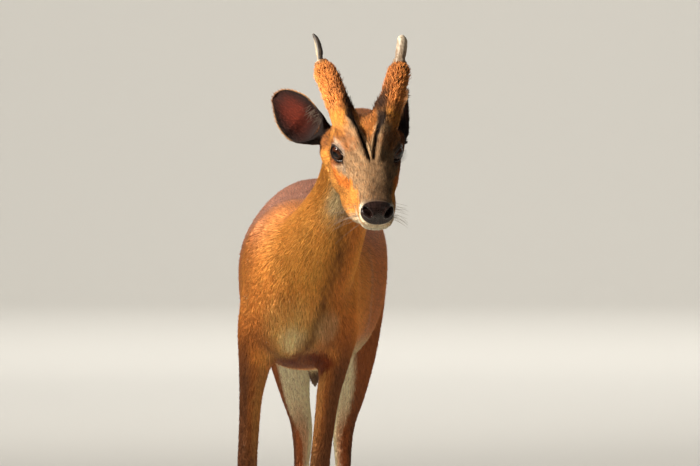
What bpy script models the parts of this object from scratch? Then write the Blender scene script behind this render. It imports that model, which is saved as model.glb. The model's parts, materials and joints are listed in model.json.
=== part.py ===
"""A male muntjac standing still, life size, as a museum shows it.

Metres, +Z up. It faces -Y and its own left side is +X.
The origin is on the floor under the middle of its box.
The flesh is lofted in closed masses, fused, smoothed and parted into named pieces with thin cuts.
"""

import math
from collections import namedtuple

import bmesh
import bpy
import numpy as np
from mathutils import Matrix, Vector

GAP = 0.0003

# Heights of the trunk's outline and its widths, from the front of the chest to the rump
TRUNK_STATIONS = (
    # y, top, bottom, level of the widest point, half width
    (-0.292, 0.425, 0.376, 0.400, 0.024),
    (-0.275, 0.465, 0.342, 0.398, 0.050),
    (-0.235, 0.503, 0.320, 0.402, 0.068),
    (-0.170, 0.528, 0.307, 0.408, 0.077),
    (-0.090, 0.529, 0.300, 0.418, 0.088),
    (0.000, 0.529, 0.296, 0.428, 0.097),
    (0.080, 0.537, 0.298, 0.434, 0.100),
    (0.150, 0.549, 0.316, 0.440, 0.097),
    (0.220, 0.5545, 0.344, 0.446, 0.088),
    (0.280, 0.542, 0.366, 0.450, 0.074),
    (0.322, 0.511, 0.394, 0.450, 0.051),
    (0.342, 0.474, 0.420, 0.447, 0.025),
)

EYE_MIDDLE = (0.1020, -0.4400, 0.5900)
HEAD_SLOPE = -38.5
HEAD_TURN = 11.0

Ring = namedtuple("Ring", "x y z half up down slope turn egg square")
Leg = namedtuple("Leg", "name side fore sideways step")

# sideways: how far from the trunk's middle a leg's axis runs at each height, from the top of it to the floor
LEGS = (
    Leg(
        "foreleg_right",
        -1,
        True,
        (
            (0.415, -0.050),
            (0.355, -0.053),
            (0.310, -0.0580),
            (0.270, -0.0640),
            (0.190, -0.0680),
            (0.0, -0.0720),
        ),
        -0.004,
    ),
    Leg(
        "foreleg_left",
        1,
        True,
        (
            (0.415, 0.050),
            (0.355, 0.050),
            (0.310, 0.0430),
            (0.270, 0.0370),
            (0.190, 0.0272),
            (0.090, 0.0250),
            (0.0, 0.0265),
        ),
        -0.012,
    ),
    Leg(
        "hindleg_right",
        -1,
        False,
        (
            (0.50, -0.042),
            (0.40, -0.046),
            (0.31, -0.0435),
            (0.27, -0.0410),
            (0.236, -0.0370),
            (0.20, -0.0305),
            (0.0, -0.0350),
        ),
        0.006,
    ),
    Leg(
        "hindleg_left",
        1,
        False,
        (
            (0.50, 0.042),
            (0.40, 0.048),
            (0.31, 0.0455),
            (0.27, 0.0420),
            (0.236, 0.0362),
            (0.20, 0.0265),
            (0.0, 0.0285),
        ),
        -0.006,
    ),
)

# height, y, half width, reach to the front, reach to the back
FORELEG_STATIONS = (
    (0.415, -0.198, 0.026, 0.040, 0.042),
    (0.355, -0.205, 0.0285, 0.044, 0.044),
    (0.318, -0.199, 0.0230, 0.034, 0.038),
    (0.275, -0.195, 0.0165, 0.0235, 0.0255),
    (0.225, -0.195, 0.0142, 0.0180, 0.0185),
    (0.183, -0.197, 0.0140, 0.0165, 0.0160),
    (0.160, -0.197, 0.0136, 0.0162, 0.0168),
    (0.138, -0.196, 0.0110, 0.0125, 0.0145),
    (0.100, -0.196, 0.0102, 0.0110, 0.0126),
    (0.068, -0.197, 0.0116, 0.0118, 0.0138),
    (0.052, -0.200, 0.0130, 0.0128, 0.0150),
    (0.038, -0.208, 0.0126, 0.0130, 0.0130),
    (0.018, -0.220, 0.0134, 0.0150, 0.0145),
)

HINDLEG_STATIONS = (
    (0.500, 0.240, 0.036, 0.050, 0.050),
    (0.455, 0.238, 0.044, 0.078, 0.078),
    (0.400, 0.225, 0.043, 0.086, 0.080),
    (0.350, 0.214, 0.0390, 0.070, 0.062),
    (0.310, 0.221, 0.0325, 0.050, 0.046),
    (0.270, 0.244, 0.0250, 0.0345, 0.0300),
    (0.236, 0.267, 0.0195, 0.0250, 0.0240),
    (0.210, 0.282, 0.0162, 0.0205, 0.0230),
    (0.188, 0.286, 0.0145, 0.0178, 0.0188),
    (0.160, 0.283, 0.0122, 0.0142, 0.0146),
    (0.110, 0.273, 0.0108, 0.0120, 0.0128),
    (0.070, 0.265, 0.0119, 0.0122, 0.0142),
    (0.054, 0.261, 0.0131, 0.0128, 0.0150),
    (0.040, 0.254, 0.0125, 0.0128, 0.0130),
    (0.018, 0.243, 0.0132, 0.0148, 0.0142),
)

CORONET = 0.0245


def axes(slope, turn):
    """Unit vectors along a mass, to the animal's left and to its upper side, for a slope and a turn."""
    s, t = math.radians(slope), math.radians(turn)
    forward = Vector((math.sin(t) * math.cos(s), -math.cos(t) * math.cos(s), math.sin(s)))
    left = Vector((math.cos(t), math.sin(t), 0.0))
    return forward, left, forward.cross(left)


def ring(x, y, z, half, up, down, slope=0.0, turn=0.0, egg=0.0, square=2.0):
    return Ring(x, y, z, half, up, down, slope, turn, egg, square)


def smooth_through(rows, steps):
    """Rows of numbers on a smooth curve through the given rows, with this many steps between two of them."""
    rows = np.array(rows, float)
    gaps = np.linalg.norm(np.diff(rows[:, :3], axis=0), axis=1)
    at = np.concatenate([[0.0], np.cumsum(np.maximum(gaps, 1e-4))])
    slopes = np.gradient(rows, at, axis=0)
    found = []
    for i in range(len(rows) - 1):
        span = at[i + 1] - at[i]
        for k in range(steps):
            t = k / steps
            found.append(
                (2 * t**3 - 3 * t**2 + 1) * rows[i]
                + (t**3 - 2 * t**2 + t) * span * slopes[i]
                + (3 * t**2 - 2 * t**3) * rows[i + 1]
                + (t**3 - t**2) * span * slopes[i + 1]
            )
    return found + [rows[-1]]


def join_loops(bm, loops):
    """Walls between consecutive rings of vertices, and a cap at each end."""
    rims = []
    for loop in loops:
        rims.append([bm.edges.get((a, b)) for a, b in zip(loop, loop[1:] + loop[:1])])
    for near, far in zip(rims, rims[1:]):
        bmesh.ops.bridge_loops(bm, edges=near + far)
    for rim in (rims[0], rims[-1]):
        bmesh.ops.contextual_create(bm, geom=rim)


def loft(bm, rings, sides=32, steps=4, place=None, shrink=0.0):
    """A closed mass through the rings, each a rounded outline with its own reach up, down and sideways."""
    loops = []
    for row in smooth_through(rings, steps):
        r = Ring(*row)
        _, left, up = axes(r.slope, r.turn)
        circle = bmesh.ops.create_circle(bm, segments=sides, radius=1.0)["verts"]
        for v in circle:
            c, s = v.co.x, v.co.y
            wide = math.copysign(abs(c) ** (2 / r.square), c) * max(r.half - shrink, 0.002) * (1 + r.egg * s)
            reach = max((r.up if s > 0 else r.down) - shrink, 0.002)
            tall = math.copysign(abs(s) ** (2 / r.square), s) * reach
            v.co = Vector((r.x, r.y, r.z)) + left * wide + up * tall
            if place:
                v.co = place @ v.co
        loops.append(circle)
    join_loops(bm, loops)


def tube(bm, path, sides=16, steps=4, place=None, flat=1.0):
    """A closed round rod through (x, y, z, radius) rows, thinner across its upright by the share flat."""
    rows = smooth_through(path, steps)
    points = [Vector(r[:3]) for r in rows]
    loops = []
    for i, row in enumerate(rows):
        along = (points[min(i + 1, len(points) - 1)] - points[max(i - 1, 0)]).normalized()
        side = along.cross(Vector((0, 0, 1)) if abs(along.z) < 0.95 else Vector((0, -1, 0))).normalized()
        over = side.cross(along)
        circle = bmesh.ops.create_circle(bm, segments=sides, radius=1.0)["verts"]
        for v in circle:
            v.co = points[i] + side * v.co.x * row[3] + over * v.co.y * row[3] * flat
            if place:
                v.co = place @ v.co
        loops.append(circle)
    join_loops(bm, loops)


def lobe(bm, at, radii, slope=0.0, turn=0.0, place=None):
    """An ellipsoid, its first radius to the side, its second along the mass and its third upright."""
    forward, left, up = axes(slope, turn)
    turned = Matrix((left, -forward, up)).transposed().to_4x4()
    matrix = Matrix.Translation(at) @ turned @ Matrix.Diagonal((*radii, 1.0))
    if place:
        matrix = place @ matrix
    bmesh.ops.create_icosphere(bm, subdivisions=4, radius=1.0, matrix=matrix)


def head_place():
    """The matrix from the head's own frame, whose origin is between the eyes, to the animal's."""
    forward, left, up = axes(HEAD_SLOPE, HEAD_TURN)
    turned = Matrix((left, -forward, up)).transposed().to_4x4()
    return Matrix.Translation(EYE_MIDDLE) @ turned


def step(x, low, high):
    """0 below low, 1 above high and a soft rise between."""
    t = np.clip((x - low) / (high - low), 0, 1)
    return t * t * (3 - 2 * t)


# How wide the face is in front of the eyes: distances ahead of them and half widths
NARROW_AHEAD = (-0.004, 0.006, 0.014, 0.024, 0.040, 0.060)
NARROW_HALF = (0.0430, 0.0355, 0.0300, 0.0292, 0.0290, 0.0282)


def narrow_face(points):
    """Before the eyes and above the cheeks the face is narrow, so that the eyes look forward past it."""
    place = np.array(head_place())
    h = (points - place[:3, 3]) @ place[:3, :3]
    ahead, x = -h[:, 1], np.abs(h[:, 0])
    limit = np.interp(ahead, NARROW_AHEAD, NARROW_HALF)
    held = step(h[:, 2], -0.022, -0.004) * step(ahead, -0.004, 0.005) * (1 - step(ahead, 0.060, 0.085))
    h[:, 0] = np.sign(h[:, 0]) * (x - np.maximum(x - limit, 0) * held * 0.92)
    return h @ place[:3, :3].T + place[:3, 3]


def trunk(bm):
    rings = []
    for y, top, bottom, level, half in TRUNK_STATIONS:
        rings.append(ring(0.0, y, level, half, top - level, level - bottom, square=2.25))
    loft(bm, rings, sides=40)
    for side in (-1, 1):
        # shoulder blade, upper arm and the haunch's rounding
        lobe(bm, (side * 0.046, -0.165, 0.425), (0.033, 0.058, 0.084), slope=-18)
        lobe(bm, (side * 0.046, -0.215, 0.376), (0.028, 0.046, 0.048), slope=25)
        lobe(bm, (side * 0.050, 0.235, 0.440), (0.040, 0.086, 0.082), slope=20)
    # breastbone
    lobe(bm, (0.0, -0.222, 0.360), (0.034, 0.055, 0.038), slope=-8)
    # sheath under the belly, of a male
    lobe(bm, (0.0, 0.092, 0.298), (0.0095, 0.034, 0.030), slope=14)


NECK_RINGS = (
    ring(0.000, -0.150, 0.420, 0.060, 0.092, 0.080, 12, 0),
    ring(0.008, -0.205, 0.440, 0.064, 0.082, 0.090, 26, 2),
    ring(0.026, -0.252, 0.468, 0.058, 0.068, 0.076, 40, 5),
    ring(0.048, -0.290, 0.503, 0.048, 0.055, 0.058, 48, 7),
    ring(0.069, -0.322, 0.541, 0.0415, 0.048, 0.048, 50, 9),
    ring(0.083, -0.350, 0.580, 0.0415, 0.045, 0.044, 46, 10),
    ring(0.093, -0.374, 0.608, 0.0350, 0.034, 0.038, 30, 11),
)


def neck(bm):
    loft(bm, NECK_RINGS, sides=36)


def sideways(leg, height):
    """How far from the trunk's middle a leg's axis runs at a height."""
    heights = [h for h, _ in reversed(leg.sideways)]
    places = [x for _, x in reversed(leg.sideways)]
    return float(np.interp(height, heights, places))


def step_forward(leg, height):
    """How far back a leg stands at a height, next to the other of its pair."""
    knee = 0.17 if leg.fore else 0.23
    return leg.step * max(0.0, 1 - height / (2 * knee))


def leg_mass(bm, leg):
    rings = []
    for z, y, half, front, back in FORELEG_STATIONS if leg.fore else HINDLEG_STATIONS:
        across, along = sideways(leg, z), y + step_forward(leg, z)
        rings.append(ring(across, along, z, half, front, back, slope=-90, square=2.1))
    loft(bm, rings, sides=24, steps=3)


# The head in its own frame: forward is -Y, so a station's y is minus its distance ahead of the eyes
HEAD_STATIONS = (
    # ahead of the eyes, top, bottom, level of the widest point, half width, egg, square
    (0.1305, 0.0050, -0.0110, -0.0030, 0.0120, 0.0, 2.2),
    (0.1270, 0.0112, -0.0190, -0.0040, 0.0176, 0.0, 2.3),
    (0.1180, 0.0155, -0.0280, -0.0070, 0.0207, 0.03, 2.4),
    (0.0980, 0.0172, -0.0345, -0.0100, 0.0222, 0.02, 2.4),
    (0.0720, 0.0187, -0.0425, -0.0120, 0.0270, 0.02, 2.5),
    (0.0480, 0.0208, -0.0505, -0.0130, 0.0332, 0.02, 2.5),
    (0.0240, 0.0235, -0.0580, -0.0130, 0.0392, 0.02, 2.5),
    (0.0000, 0.0255, -0.0625, -0.0110, 0.0425, 0.02, 2.5),
    (-0.0240, 0.0272, -0.0640, -0.0080, 0.0436, 0.02, 2.4),
    (-0.0460, 0.0245, -0.0600, -0.0080, 0.0416, 0.03, 2.2),
    (-0.0680, 0.0160, -0.0500, -0.0110, 0.0365, 0.02, 2.1),
    (-0.0860, 0.0040, -0.0380, -0.0150, 0.0280, 0.0, 2.0),
    (-0.0960, -0.0080, -0.0270, -0.0170, 0.0160, 0.0, 2.0),
)
EYE_OUT, EYE_UP, EYE_RADIUS = 0.0315, 0.0020, 0.0130
EYE_TURN, EYE_TILT = 50.0, 6.0
# Half the opening between the lids, as an angle at the middle of the eye
LID_WIDE, LID_TALL = 58.0, 38.0
LID_THICK = 0.0024
PEDICLE_ROOT = (0.0285, 0.034, 0.022)
PEDICLE_TIP = (0.0508, 0.1075, 0.0560)
# Along a pedicle: share of its length, share of its radius
PEDICLE_TAPER = (
    (-0.15, 0.85),
    (0.0, 0.98),
    (0.3, 0.97),
    (0.62, 0.93),
    (0.84, 0.90),
    (0.96, 0.72),
    (1.06, 0.50),
)
PEDICLE_RADIUS = 0.0147
PEDICLE_CUT = 0.30
NOSTRILS = (0.0120, -0.1245, 0.0070)
MOUTH_LEVEL, MOUTH_CORNER = -0.0215, -0.060


def eye_axes(side):
    """Outward, forward and upright unit vectors of an eye, in the head's frame."""
    t, e = math.radians(EYE_TURN), math.radians(EYE_TILT)
    outward = Vector((side * math.sin(t) * math.cos(e), -math.cos(t) * math.cos(e), math.sin(e)))
    forward = outward.cross(Vector((0, 0, 1))).normalized() * -side
    return outward, forward, outward.cross(forward).normalized() * -side


def eye_centre(side):
    return Vector((side * EYE_OUT, 0.0, EYE_UP))


def lid_direction(side, angle, wide=1.0):
    """The way from the middle of an eye to its opening's edge, an almond with its corners fore and aft."""
    outward, forward, upright = eye_axes(side)
    along, over = math.cos(angle), math.sin(angle)
    across = math.radians(LID_WIDE * wide) * along
    rise = math.radians(LID_TALL * wide) * over * (1 - 0.22 * abs(along) ** 3)
    # the front corner lies lower than the back one
    rise -= 0.14 * across
    turn = math.hypot(across, rise)
    way = (forward * across + upright * rise) / turn
    return outward * math.cos(turn) + way * math.sin(turn)


def skull(bm):
    place = head_place()
    rings = []
    for ahead, top, bottom, level, half, egg, square in HEAD_STATIONS:
        rings.append(ring(0.0, -ahead, level, half, top - level, level - bottom, egg=egg, square=square))
    loft(bm, rings, sides=36, place=place)
    for side in (-1, 1):
        # muscle under the ear, muscle of the jaw, cheek bone, brow, lids and lip
        lobe(bm, (side * 0.0400, 0.0470, -0.0330), (0.0125, 0.0240, 0.0230), slope=-30, place=place)
        lobe(bm, (side * 0.0265, 0.008, -0.038), (0.0170, 0.044, 0.026), slope=12, place=place)
        jowl = (side * 0.0210, -0.054, -0.0370)
        lobe(bm, jowl, (0.0125, 0.050, 0.0140), slope=11, turn=side * -6, place=place)
        cheek_bone = (side * 0.0310, -0.022, -0.011)
        lobe(bm, cheek_bone, (0.0120, 0.036, 0.0120), slope=10, turn=side * -14, place=place)
        lobe(bm, (side * 0.0300, 0.008, 0.0155), (0.0125, 0.024, 0.0085), slope=6, place=place)
        lobe(bm, eye_centre(side), [EYE_RADIUS + LID_THICK] * 3, place=place)
        lobe(bm, (side * 0.0125, -0.100, -0.0140), (0.0105, 0.024, 0.0100), slope=4, place=place)
        # ridges run from the pedicles to the bridge of the nose
        x, y, z = PEDICLE_ROOT
        tube(
            bm,
            [
                (side * x, y, z, 0.0150),
                (side * (x - 0.0060), y - 0.024, z + 0.0040, 0.0105),
                (side * (x - 0.0145), y - 0.054, z - 0.0015, 0.0065),
                (side * (x - 0.0235), y - 0.084, z - 0.0045, 0.0035),
            ],
            place=place,
        )
        # the inner foot of the pedicle
        tube(
            bm,
            [
                (side * 0.0115, 0.040, 0.0135, 0.0090),
                (side * 0.0190, 0.054, 0.0220, 0.0096),
                (side * 0.0265, 0.064, 0.0285, 0.0088),
                (side * 0.0330, 0.072, 0.0335, 0.0070),
            ],
            place=place,
        )
        pedicle(bm, side, place)
        ear_boss(bm, side)


def pedicle(bm, side, place):
    root, tip = Vector(PEDICLE_ROOT), Vector(PEDICLE_TIP)
    rows = []
    for share, radius in PEDICLE_TAPER:
        p = root.lerp(tip, share)
        bow = 0.002 * math.sin(math.pi * max(share, 0.0))
        rows.append((side * (p.x - bow), p.y, p.z, PEDICLE_RADIUS * radius))
    tube(bm, rows, place=place, sides=20)


def pedicle_planes(side):
    """The planes round a pedicle, as it stands free of the forehead."""
    place = head_place()
    turned = place.to_3x3()
    root, tip = Vector(PEDICLE_ROOT), Vector(PEDICLE_TIP)
    along = (tip - root).normalized()
    under = Vector((0.0, along.z, -along.y)).normalized()
    found = []
    for point, normal in (
        (root.lerp(tip, PEDICLE_CUT), -along),
        (tip, along),
        (root.lerp(tip, PEDICLE_CUT) + under * 0.0195, under),
        (Vector((0.009, 0.0, 0.0)), Vector((-1.0, 0.0, 0.0))),
    ):
        mirror = Vector((side, 1, 1))
        found.append((place @ (point * mirror), turned @ (normal * mirror)))
    return found


def antler(side):
    """A short spike on a low burr, which starts on the flat top of its pedicle."""
    place = head_place()
    root, tip = Vector(PEDICLE_ROOT), Vector(PEDICLE_TIP)
    along = (tip - root).normalized()
    base = tip + along * GAP / 2
    bm = bmesh.new()
    if side < 0:
        rows = (
            (0.0, 0.0, 0.0088),
            (0.0022, 0.0, 0.0090),
            (0.0042, 0.0, 0.0062),
            (0.016, -0.0024, 0.0050),
            (0.029, -0.0040, 0.0040),
            (0.0375, -0.0034, 0.0027),
            (0.0415, -0.0020, 0.0011),
        )
    else:
        rows = (
            (0.0, -0.0028, 0.0088),
            (0.0022, -0.0030, 0.0090),
            (0.0044, -0.0034, 0.0078),
            (0.015, -0.0044, 0.0074),
            (0.028, -0.0058, 0.0074),
            (0.0345, -0.0070, 0.0062),
            (0.0382, -0.0076, 0.0028),
        )
    loops = []
    turn_up = Vector((0.0, -0.30, 0.60))
    for reach, out, radius in rows:
        bend = reach * reach * 5.0
        aside = Vector((out, 0.0, 0.0))
        centre = base + along * reach + turn_up * bend * 0.9 + aside - along * aside.dot(along)
        way = (along + turn_up * reach * 9.0).normalized() if reach > 0.003 else along
        side_way = way.cross(Vector((0.0, 0.0, 1.0))).normalized()
        over = side_way.cross(way)
        circle = bmesh.ops.create_circle(bm, segments=16, radius=1.0)["verts"]
        for v in circle:
            p = centre + side_way * v.co.x * radius * 0.92 + over * v.co.y * radius
            v.co = place @ (p * Vector((side, 1, 1)))
        loops.append(circle)
    join_loops(bm, loops)
    return object_of("antler_left" if side > 0 else "antler_right", bm, (0.42, 0.36, 0.28), 0.55)


# Each ear: its root in the head's frame, how far its stalk stands out, its axis and the way its cup faces
EARS = {
    -1: (
        Vector((-0.0363, 0.0460, -0.0189)),
        0.013,
        Vector((-0.790, 0.287, 0.534)),
        Vector((-0.10, -0.97, 0.12)),
    ),
    1: (
        Vector((0.0388, 0.0440, -0.0215)),
        0.017,
        Vector((0.080, 0.790, 0.600)),
        Vector((0.93, 0.14, 0.10)),
    ),
}
EAR_LENGTH = 0.097
# Share of the length, half width, half the angle of its roll, wall, depth of the cup, lean back, sway up
EAR_STATIONS = (
    (0.00, 0.0140, 150, 0.0040, 0.00, 0.0000, 0.0000),
    (0.07, 0.0169, 132, 0.0036, 0.20, -0.0030, -0.0014),
    (0.15, 0.0206, 108, 0.0032, 0.75, -0.0075, -0.0020),
    (0.26, 0.0250, 86, 0.0028, 1.00, -0.0120, -0.0032),
    (0.40, 0.0281, 68, 0.0025, 1.00, -0.0130, -0.0026),
    (0.56, 0.0278, 55, 0.0023, 1.00, -0.0125, -0.0001),
    (0.70, 0.0241, 48, 0.0021, 1.00, -0.0115, 0.0020),
    (0.83, 0.0184, 42, 0.0020, 1.00, -0.0100, 0.0045),
    (0.93, 0.0122, 38, 0.0019, 1.00, -0.0085, 0.0058),
    (0.98, 0.0076, 36, 0.0018, 1.00, -0.0076, 0.0048),
    (1.00, 0.0042, 34, 0.0017, 1.00, -0.0072, 0.0042),
)
EAR_ACROSS = 12


def ear_frame(side):
    """The matrix from an ear's own frame to the animal's: its axis is +Z and its cup opens to -Y."""
    root, _, axis, facing = EARS[side]
    axis = axis.normalized()
    facing = (facing - axis * facing.dot(axis)).normalized()
    across = facing.cross(axis)
    turned = Matrix((across, -facing, axis)).transposed().to_4x4()
    return Matrix.Translation(head_place() @ root) @ turned


def ear_boss(bm, side):
    """The root of an ear, sunk in the head and standing out past the ear's cut."""
    frame = ear_frame(side)
    stalk = EARS[side][1]
    heights = ((-0.026, 0.0150), (-0.004, 0.0165), (stalk, 0.0130), (stalk + 0.009, 0.0120))
    rows = [(0.0, 0.0, height, radius) for height, radius in heights]
    tube(bm, rows, place=frame, sides=20)


def ear_end(head, side):
    """Cuts the root of an ear off flat where the ear begins."""
    bm = bmesh.new()
    length = 0.016
    bmesh.ops.create_cone(bm, cap_ends=True, segments=24, radius1=0.0155, radius2=0.0165, depth=length)
    bm.transform(ear_frame(side) @ Matrix.Translation((0, 0, EARS[side][1] - GAP / 2 + length / 2)))
    cutter = object_of("cutter", bm)
    boolean(head, cutter, "DIFFERENCE")
    remove(cutter)


def make_room(head, made):
    """Takes a piece, grown by the gap, out of the head, so that the two lie close without touching."""
    cutter = copy_of(made, "cutter")
    bm = bmesh.new()
    bm.from_mesh(cutter.data)
    bm.normal_update()
    for v in bm.verts:
        v.co += v.normal * GAP
    bm.to_mesh(cutter.data)
    bm.free()
    boolean(head, cutter, "DIFFERENCE")
    remove(cutter)


def ear(side):
    """An ear as one closed wall: solid and round at its root, then a cup that opens out to a broad leaf."""
    bm = bmesh.new()
    frame = ear_frame(side)
    stalk = EARS[side][1]
    loops = []
    for share, half, roll, wall, hollow, lean, sway in EAR_STATIONS:
        sway *= side
        roll = math.radians(roll)
        radius = half / math.sin(min(roll, math.pi / 2))
        centre = -radius * math.cos(roll) * min(1.0, max(0.0, (share - 0.1) / 0.4)) + lean
        z = stalk + GAP / 2 + (EAR_LENGTH - stalk) * share
        loop = []
        for k in range(EAR_ACROSS + 1):
            angle = roll * (2 * k / EAR_ACROSS - 1)
            loop.append(Vector((radius * math.sin(angle) + sway, radius * math.cos(angle) + centre, z)))
        rim = max(0.25, 1 - wall / max(radius, 1e-4))
        for k in range(EAR_ACROSS, -1, -1):
            s = 2 * k / EAR_ACROSS - 1
            angle = roll * s * (1 - 0.02 * hollow)
            cup = Vector((radius * rim * math.sin(angle) + sway, radius * rim * math.cos(angle) + centre, z))
            angle = math.pi - (math.pi - roll) * s * 0.9
            plug = Vector((radius * math.sin(angle) + sway, radius * math.cos(angle) + centre, z))
            loop.append(plug.lerp(cup, hollow))
        loops.append([bm.verts.new(frame @ p) for p in loop])
    count = len(loops[0])
    for near, far in zip(loops, loops[1:]):
        for i in range(count):
            j = (i + 1) % count
            if i <= EAR_ACROSS:
                bm.faces.new((near[i], near[j], far[j]))
                bm.faces.new((near[i], far[j], far[i]))
            else:
                bm.faces.new((near[i], near[j], far[i]))
                bm.faces.new((near[j], far[j], far[i]))
    bm.faces.new(loops[0])
    bm.faces.new(loops[-1])
    bmesh.ops.triangulate(bm, faces=[f for f in bm.faces if len(f.verts) > 3])
    return object_of("ear_left" if side > 0 else "ear_right", bm, (0.45, 0.20, 0.07))


def object_of(name, bm, colour=(0.5, 0.3, 0.1), roughness=0.8, metallic=0.0):
    bmesh.ops.recalc_face_normals(bm, faces=bm.faces)
    mesh = bpy.data.meshes.new(name)
    bm.to_mesh(mesh)
    bm.free()
    made = bpy.data.objects.new(name, mesh)
    bpy.context.scene.collection.objects.link(made)
    paint(made, colour, roughness, metallic)
    return made


def paint(made, colour, roughness=0.8, metallic=0.0):
    material = bpy.data.materials.new(made.name)
    material.use_nodes = True
    shader = material.node_tree.nodes["Principled BSDF"]
    shader.inputs["Base Color"].default_value = (*colour, 1.0)
    shader.inputs["Roughness"].default_value = roughness
    shader.inputs["Metallic"].default_value = metallic
    made.data.materials.clear()
    made.data.materials.append(material)


def applied(made):
    """The object with its modifiers made part of its mesh."""
    bpy.context.view_layer.update()
    graph = bpy.context.evaluated_depsgraph_get()
    mesh = bpy.data.meshes.new_from_object(made.evaluated_get(graph))
    made.modifiers.clear()
    made.data = mesh
    return made


def fused(name, bm, voxel):
    """All the masses as one closed skin."""
    made = object_of(name, bm)
    remesh = made.modifiers.new("fuse", "REMESH")
    remesh.mode = "VOXEL"
    remesh.voxel_size = voxel
    return applied(made)


def ease(made, rounds, weight=None, shrink=0.5, swell=-0.53):
    """Smooths the mesh without thinning it, by a pass inwards and one outwards each round."""
    mesh = made.data
    ends = np.empty(len(mesh.edges) * 2, np.int32)
    mesh.edges.foreach_get("vertices", ends)
    a, b = ends.reshape(-1, 2).T
    points = np.empty(len(mesh.vertices) * 3)
    mesh.vertices.foreach_get("co", points)
    points = points.reshape(-1, 3)
    count = np.bincount(np.concatenate([a, b]), minlength=len(points))[:, None]
    share = np.ones(len(points)) if weight is None else weight(points)
    for _ in range(rounds):
        for step in (shrink, swell):
            total = np.zeros_like(points)
            for axis in range(3):
                total[:, axis] = np.bincount(a, points[b, axis], len(points))
                total[:, axis] += np.bincount(b, points[a, axis], len(points))
            points = points + (total / count - points) * step * share[:, None]
    mesh.vertices.foreach_set("co", points.ravel())
    mesh.update()
    return made


def reshaped(made, change):
    """The object with its points moved by a function of all of them."""
    points = np.empty(len(made.data.vertices) * 3)
    made.data.vertices.foreach_get("co", points)
    made.data.vertices.foreach_set("co", change(points.reshape(-1, 3)).ravel())
    made.data.update()
    return ease(made, 2)


def thin_out(made, triangles):
    """Fewer triangles, closest where the surface bends."""
    made.data.calc_loop_triangles()
    now = len(made.data.loop_triangles)
    if now > triangles:
        fewer = made.modifiers.new("fewer", "DECIMATE")
        fewer.ratio = triangles / now
        fewer.use_collapse_triangulate = True
        applied(made)
    return made


def boolean(made, other, operation, solver="EXACT"):
    cut = made.modifiers.new(operation.lower(), "BOOLEAN")
    cut.operation = operation
    cut.solver = solver
    cut.object = other
    return applied(made)


def remove(made):
    bpy.data.objects.remove(made)


def region(name, planes, reach=1.2):
    """A big box cut down to the side of each plane that its normal points away from: (point, normal)."""
    bm = bmesh.new()
    bmesh.ops.create_cube(bm, size=2 * reach)
    for point, normal in planes:
        whole = bm.verts[:] + bm.edges[:] + bm.faces[:]
        kept = bmesh.ops.bisect_plane(bm, geom=whole, plane_co=point, plane_no=normal, clear_outer=True)
        rim = [e for e in kept["geom_cut"] if isinstance(e, bmesh.types.BMEdge)]
        bmesh.ops.contextual_create(bm, geom=rim)
    bmesh.ops.triangulate(bm, faces=bm.faces)
    return object_of(name, bm)


def moved_out(planes, distance):
    """The same planes, each moved along its normal."""
    return [(Vector(p) + Vector(n).normalized() * distance, n) for p, n in planes]


def largest_piece(made):
    """Only the biggest closed surface of the mesh."""
    bm = bmesh.new()
    bm.from_mesh(made.data)
    left, groups = set(bm.verts), []
    while left:
        todo, seen = [left.pop()], set()
        while todo:
            v = todo.pop()
            seen.add(v)
            for e in v.link_edges:
                other = e.other_vert(v)
                if other in left:
                    left.discard(other)
                    todo.append(other)
        groups.append(seen)
    groups.sort(key=len)
    scraps = [v for group in groups[:-1] for v in group]
    if scraps:
        bmesh.ops.delete(bm, geom=scraps, context="VERTS")
    bm.to_mesh(made.data)
    bm.free()
    return made


def copy_of(made, name):
    twin = made.copy()
    twin.data = made.data.copy()
    twin.name = name
    bpy.context.scene.collection.objects.link(twin)
    return twin


def part_of(whole, name, planes):
    """The part of a mass on the inner side of all the planes, half a gap short of each."""
    made = copy_of(whole, name)
    cutter = region("cutter", moved_out(planes, -GAP / 2))
    boolean(made, cutter, "INTERSECT")
    remove(cutter)
    return largest_piece(made)


def without(made, planes):
    """Takes away what is on the inner side of all the planes, and half a gap more."""
    cutter = region("cutter", moved_out(planes, GAP / 2))
    boolean(made, cutter, "DIFFERENCE")
    remove(cutter)
    return largest_piece(made)


# Where the flesh is parted: each place is the set of planes round it, as a point and the way out
NECK_TOP = ((0.078, -0.350, 0.580), axes(40, 12)[0])
NECK_BASE = ((0.020, -0.250, 0.470), axes(40, 5)[0])


def leg_planes(leg):
    """The planes round a leg, which part it from the trunk."""
    s = leg.side
    if leg.fore:
        return [
            ((s * 0.030, -0.200, 0.305), (-s * 0.75, 0.0, 0.66)),
            ((0.0, 0.0, 0.0), (-s, 0.0, 0.0)),
            ((0.0, -0.152, 0.0), (0.0, 1.0, 0.0)),
        ]
    return [
        ((s * 0.016, 0.200, 0.325), (-s * 0.0174, -0.0078, 0.0084)),
        ((0.0, 0.0, 0.0), (-s, 0.0, 0.0)),
    ]


def joint_height(leg):
    return 0.172 if leg.fore else 0.212


def name_side(side):
    return "left" if side > 0 else "right"


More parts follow.
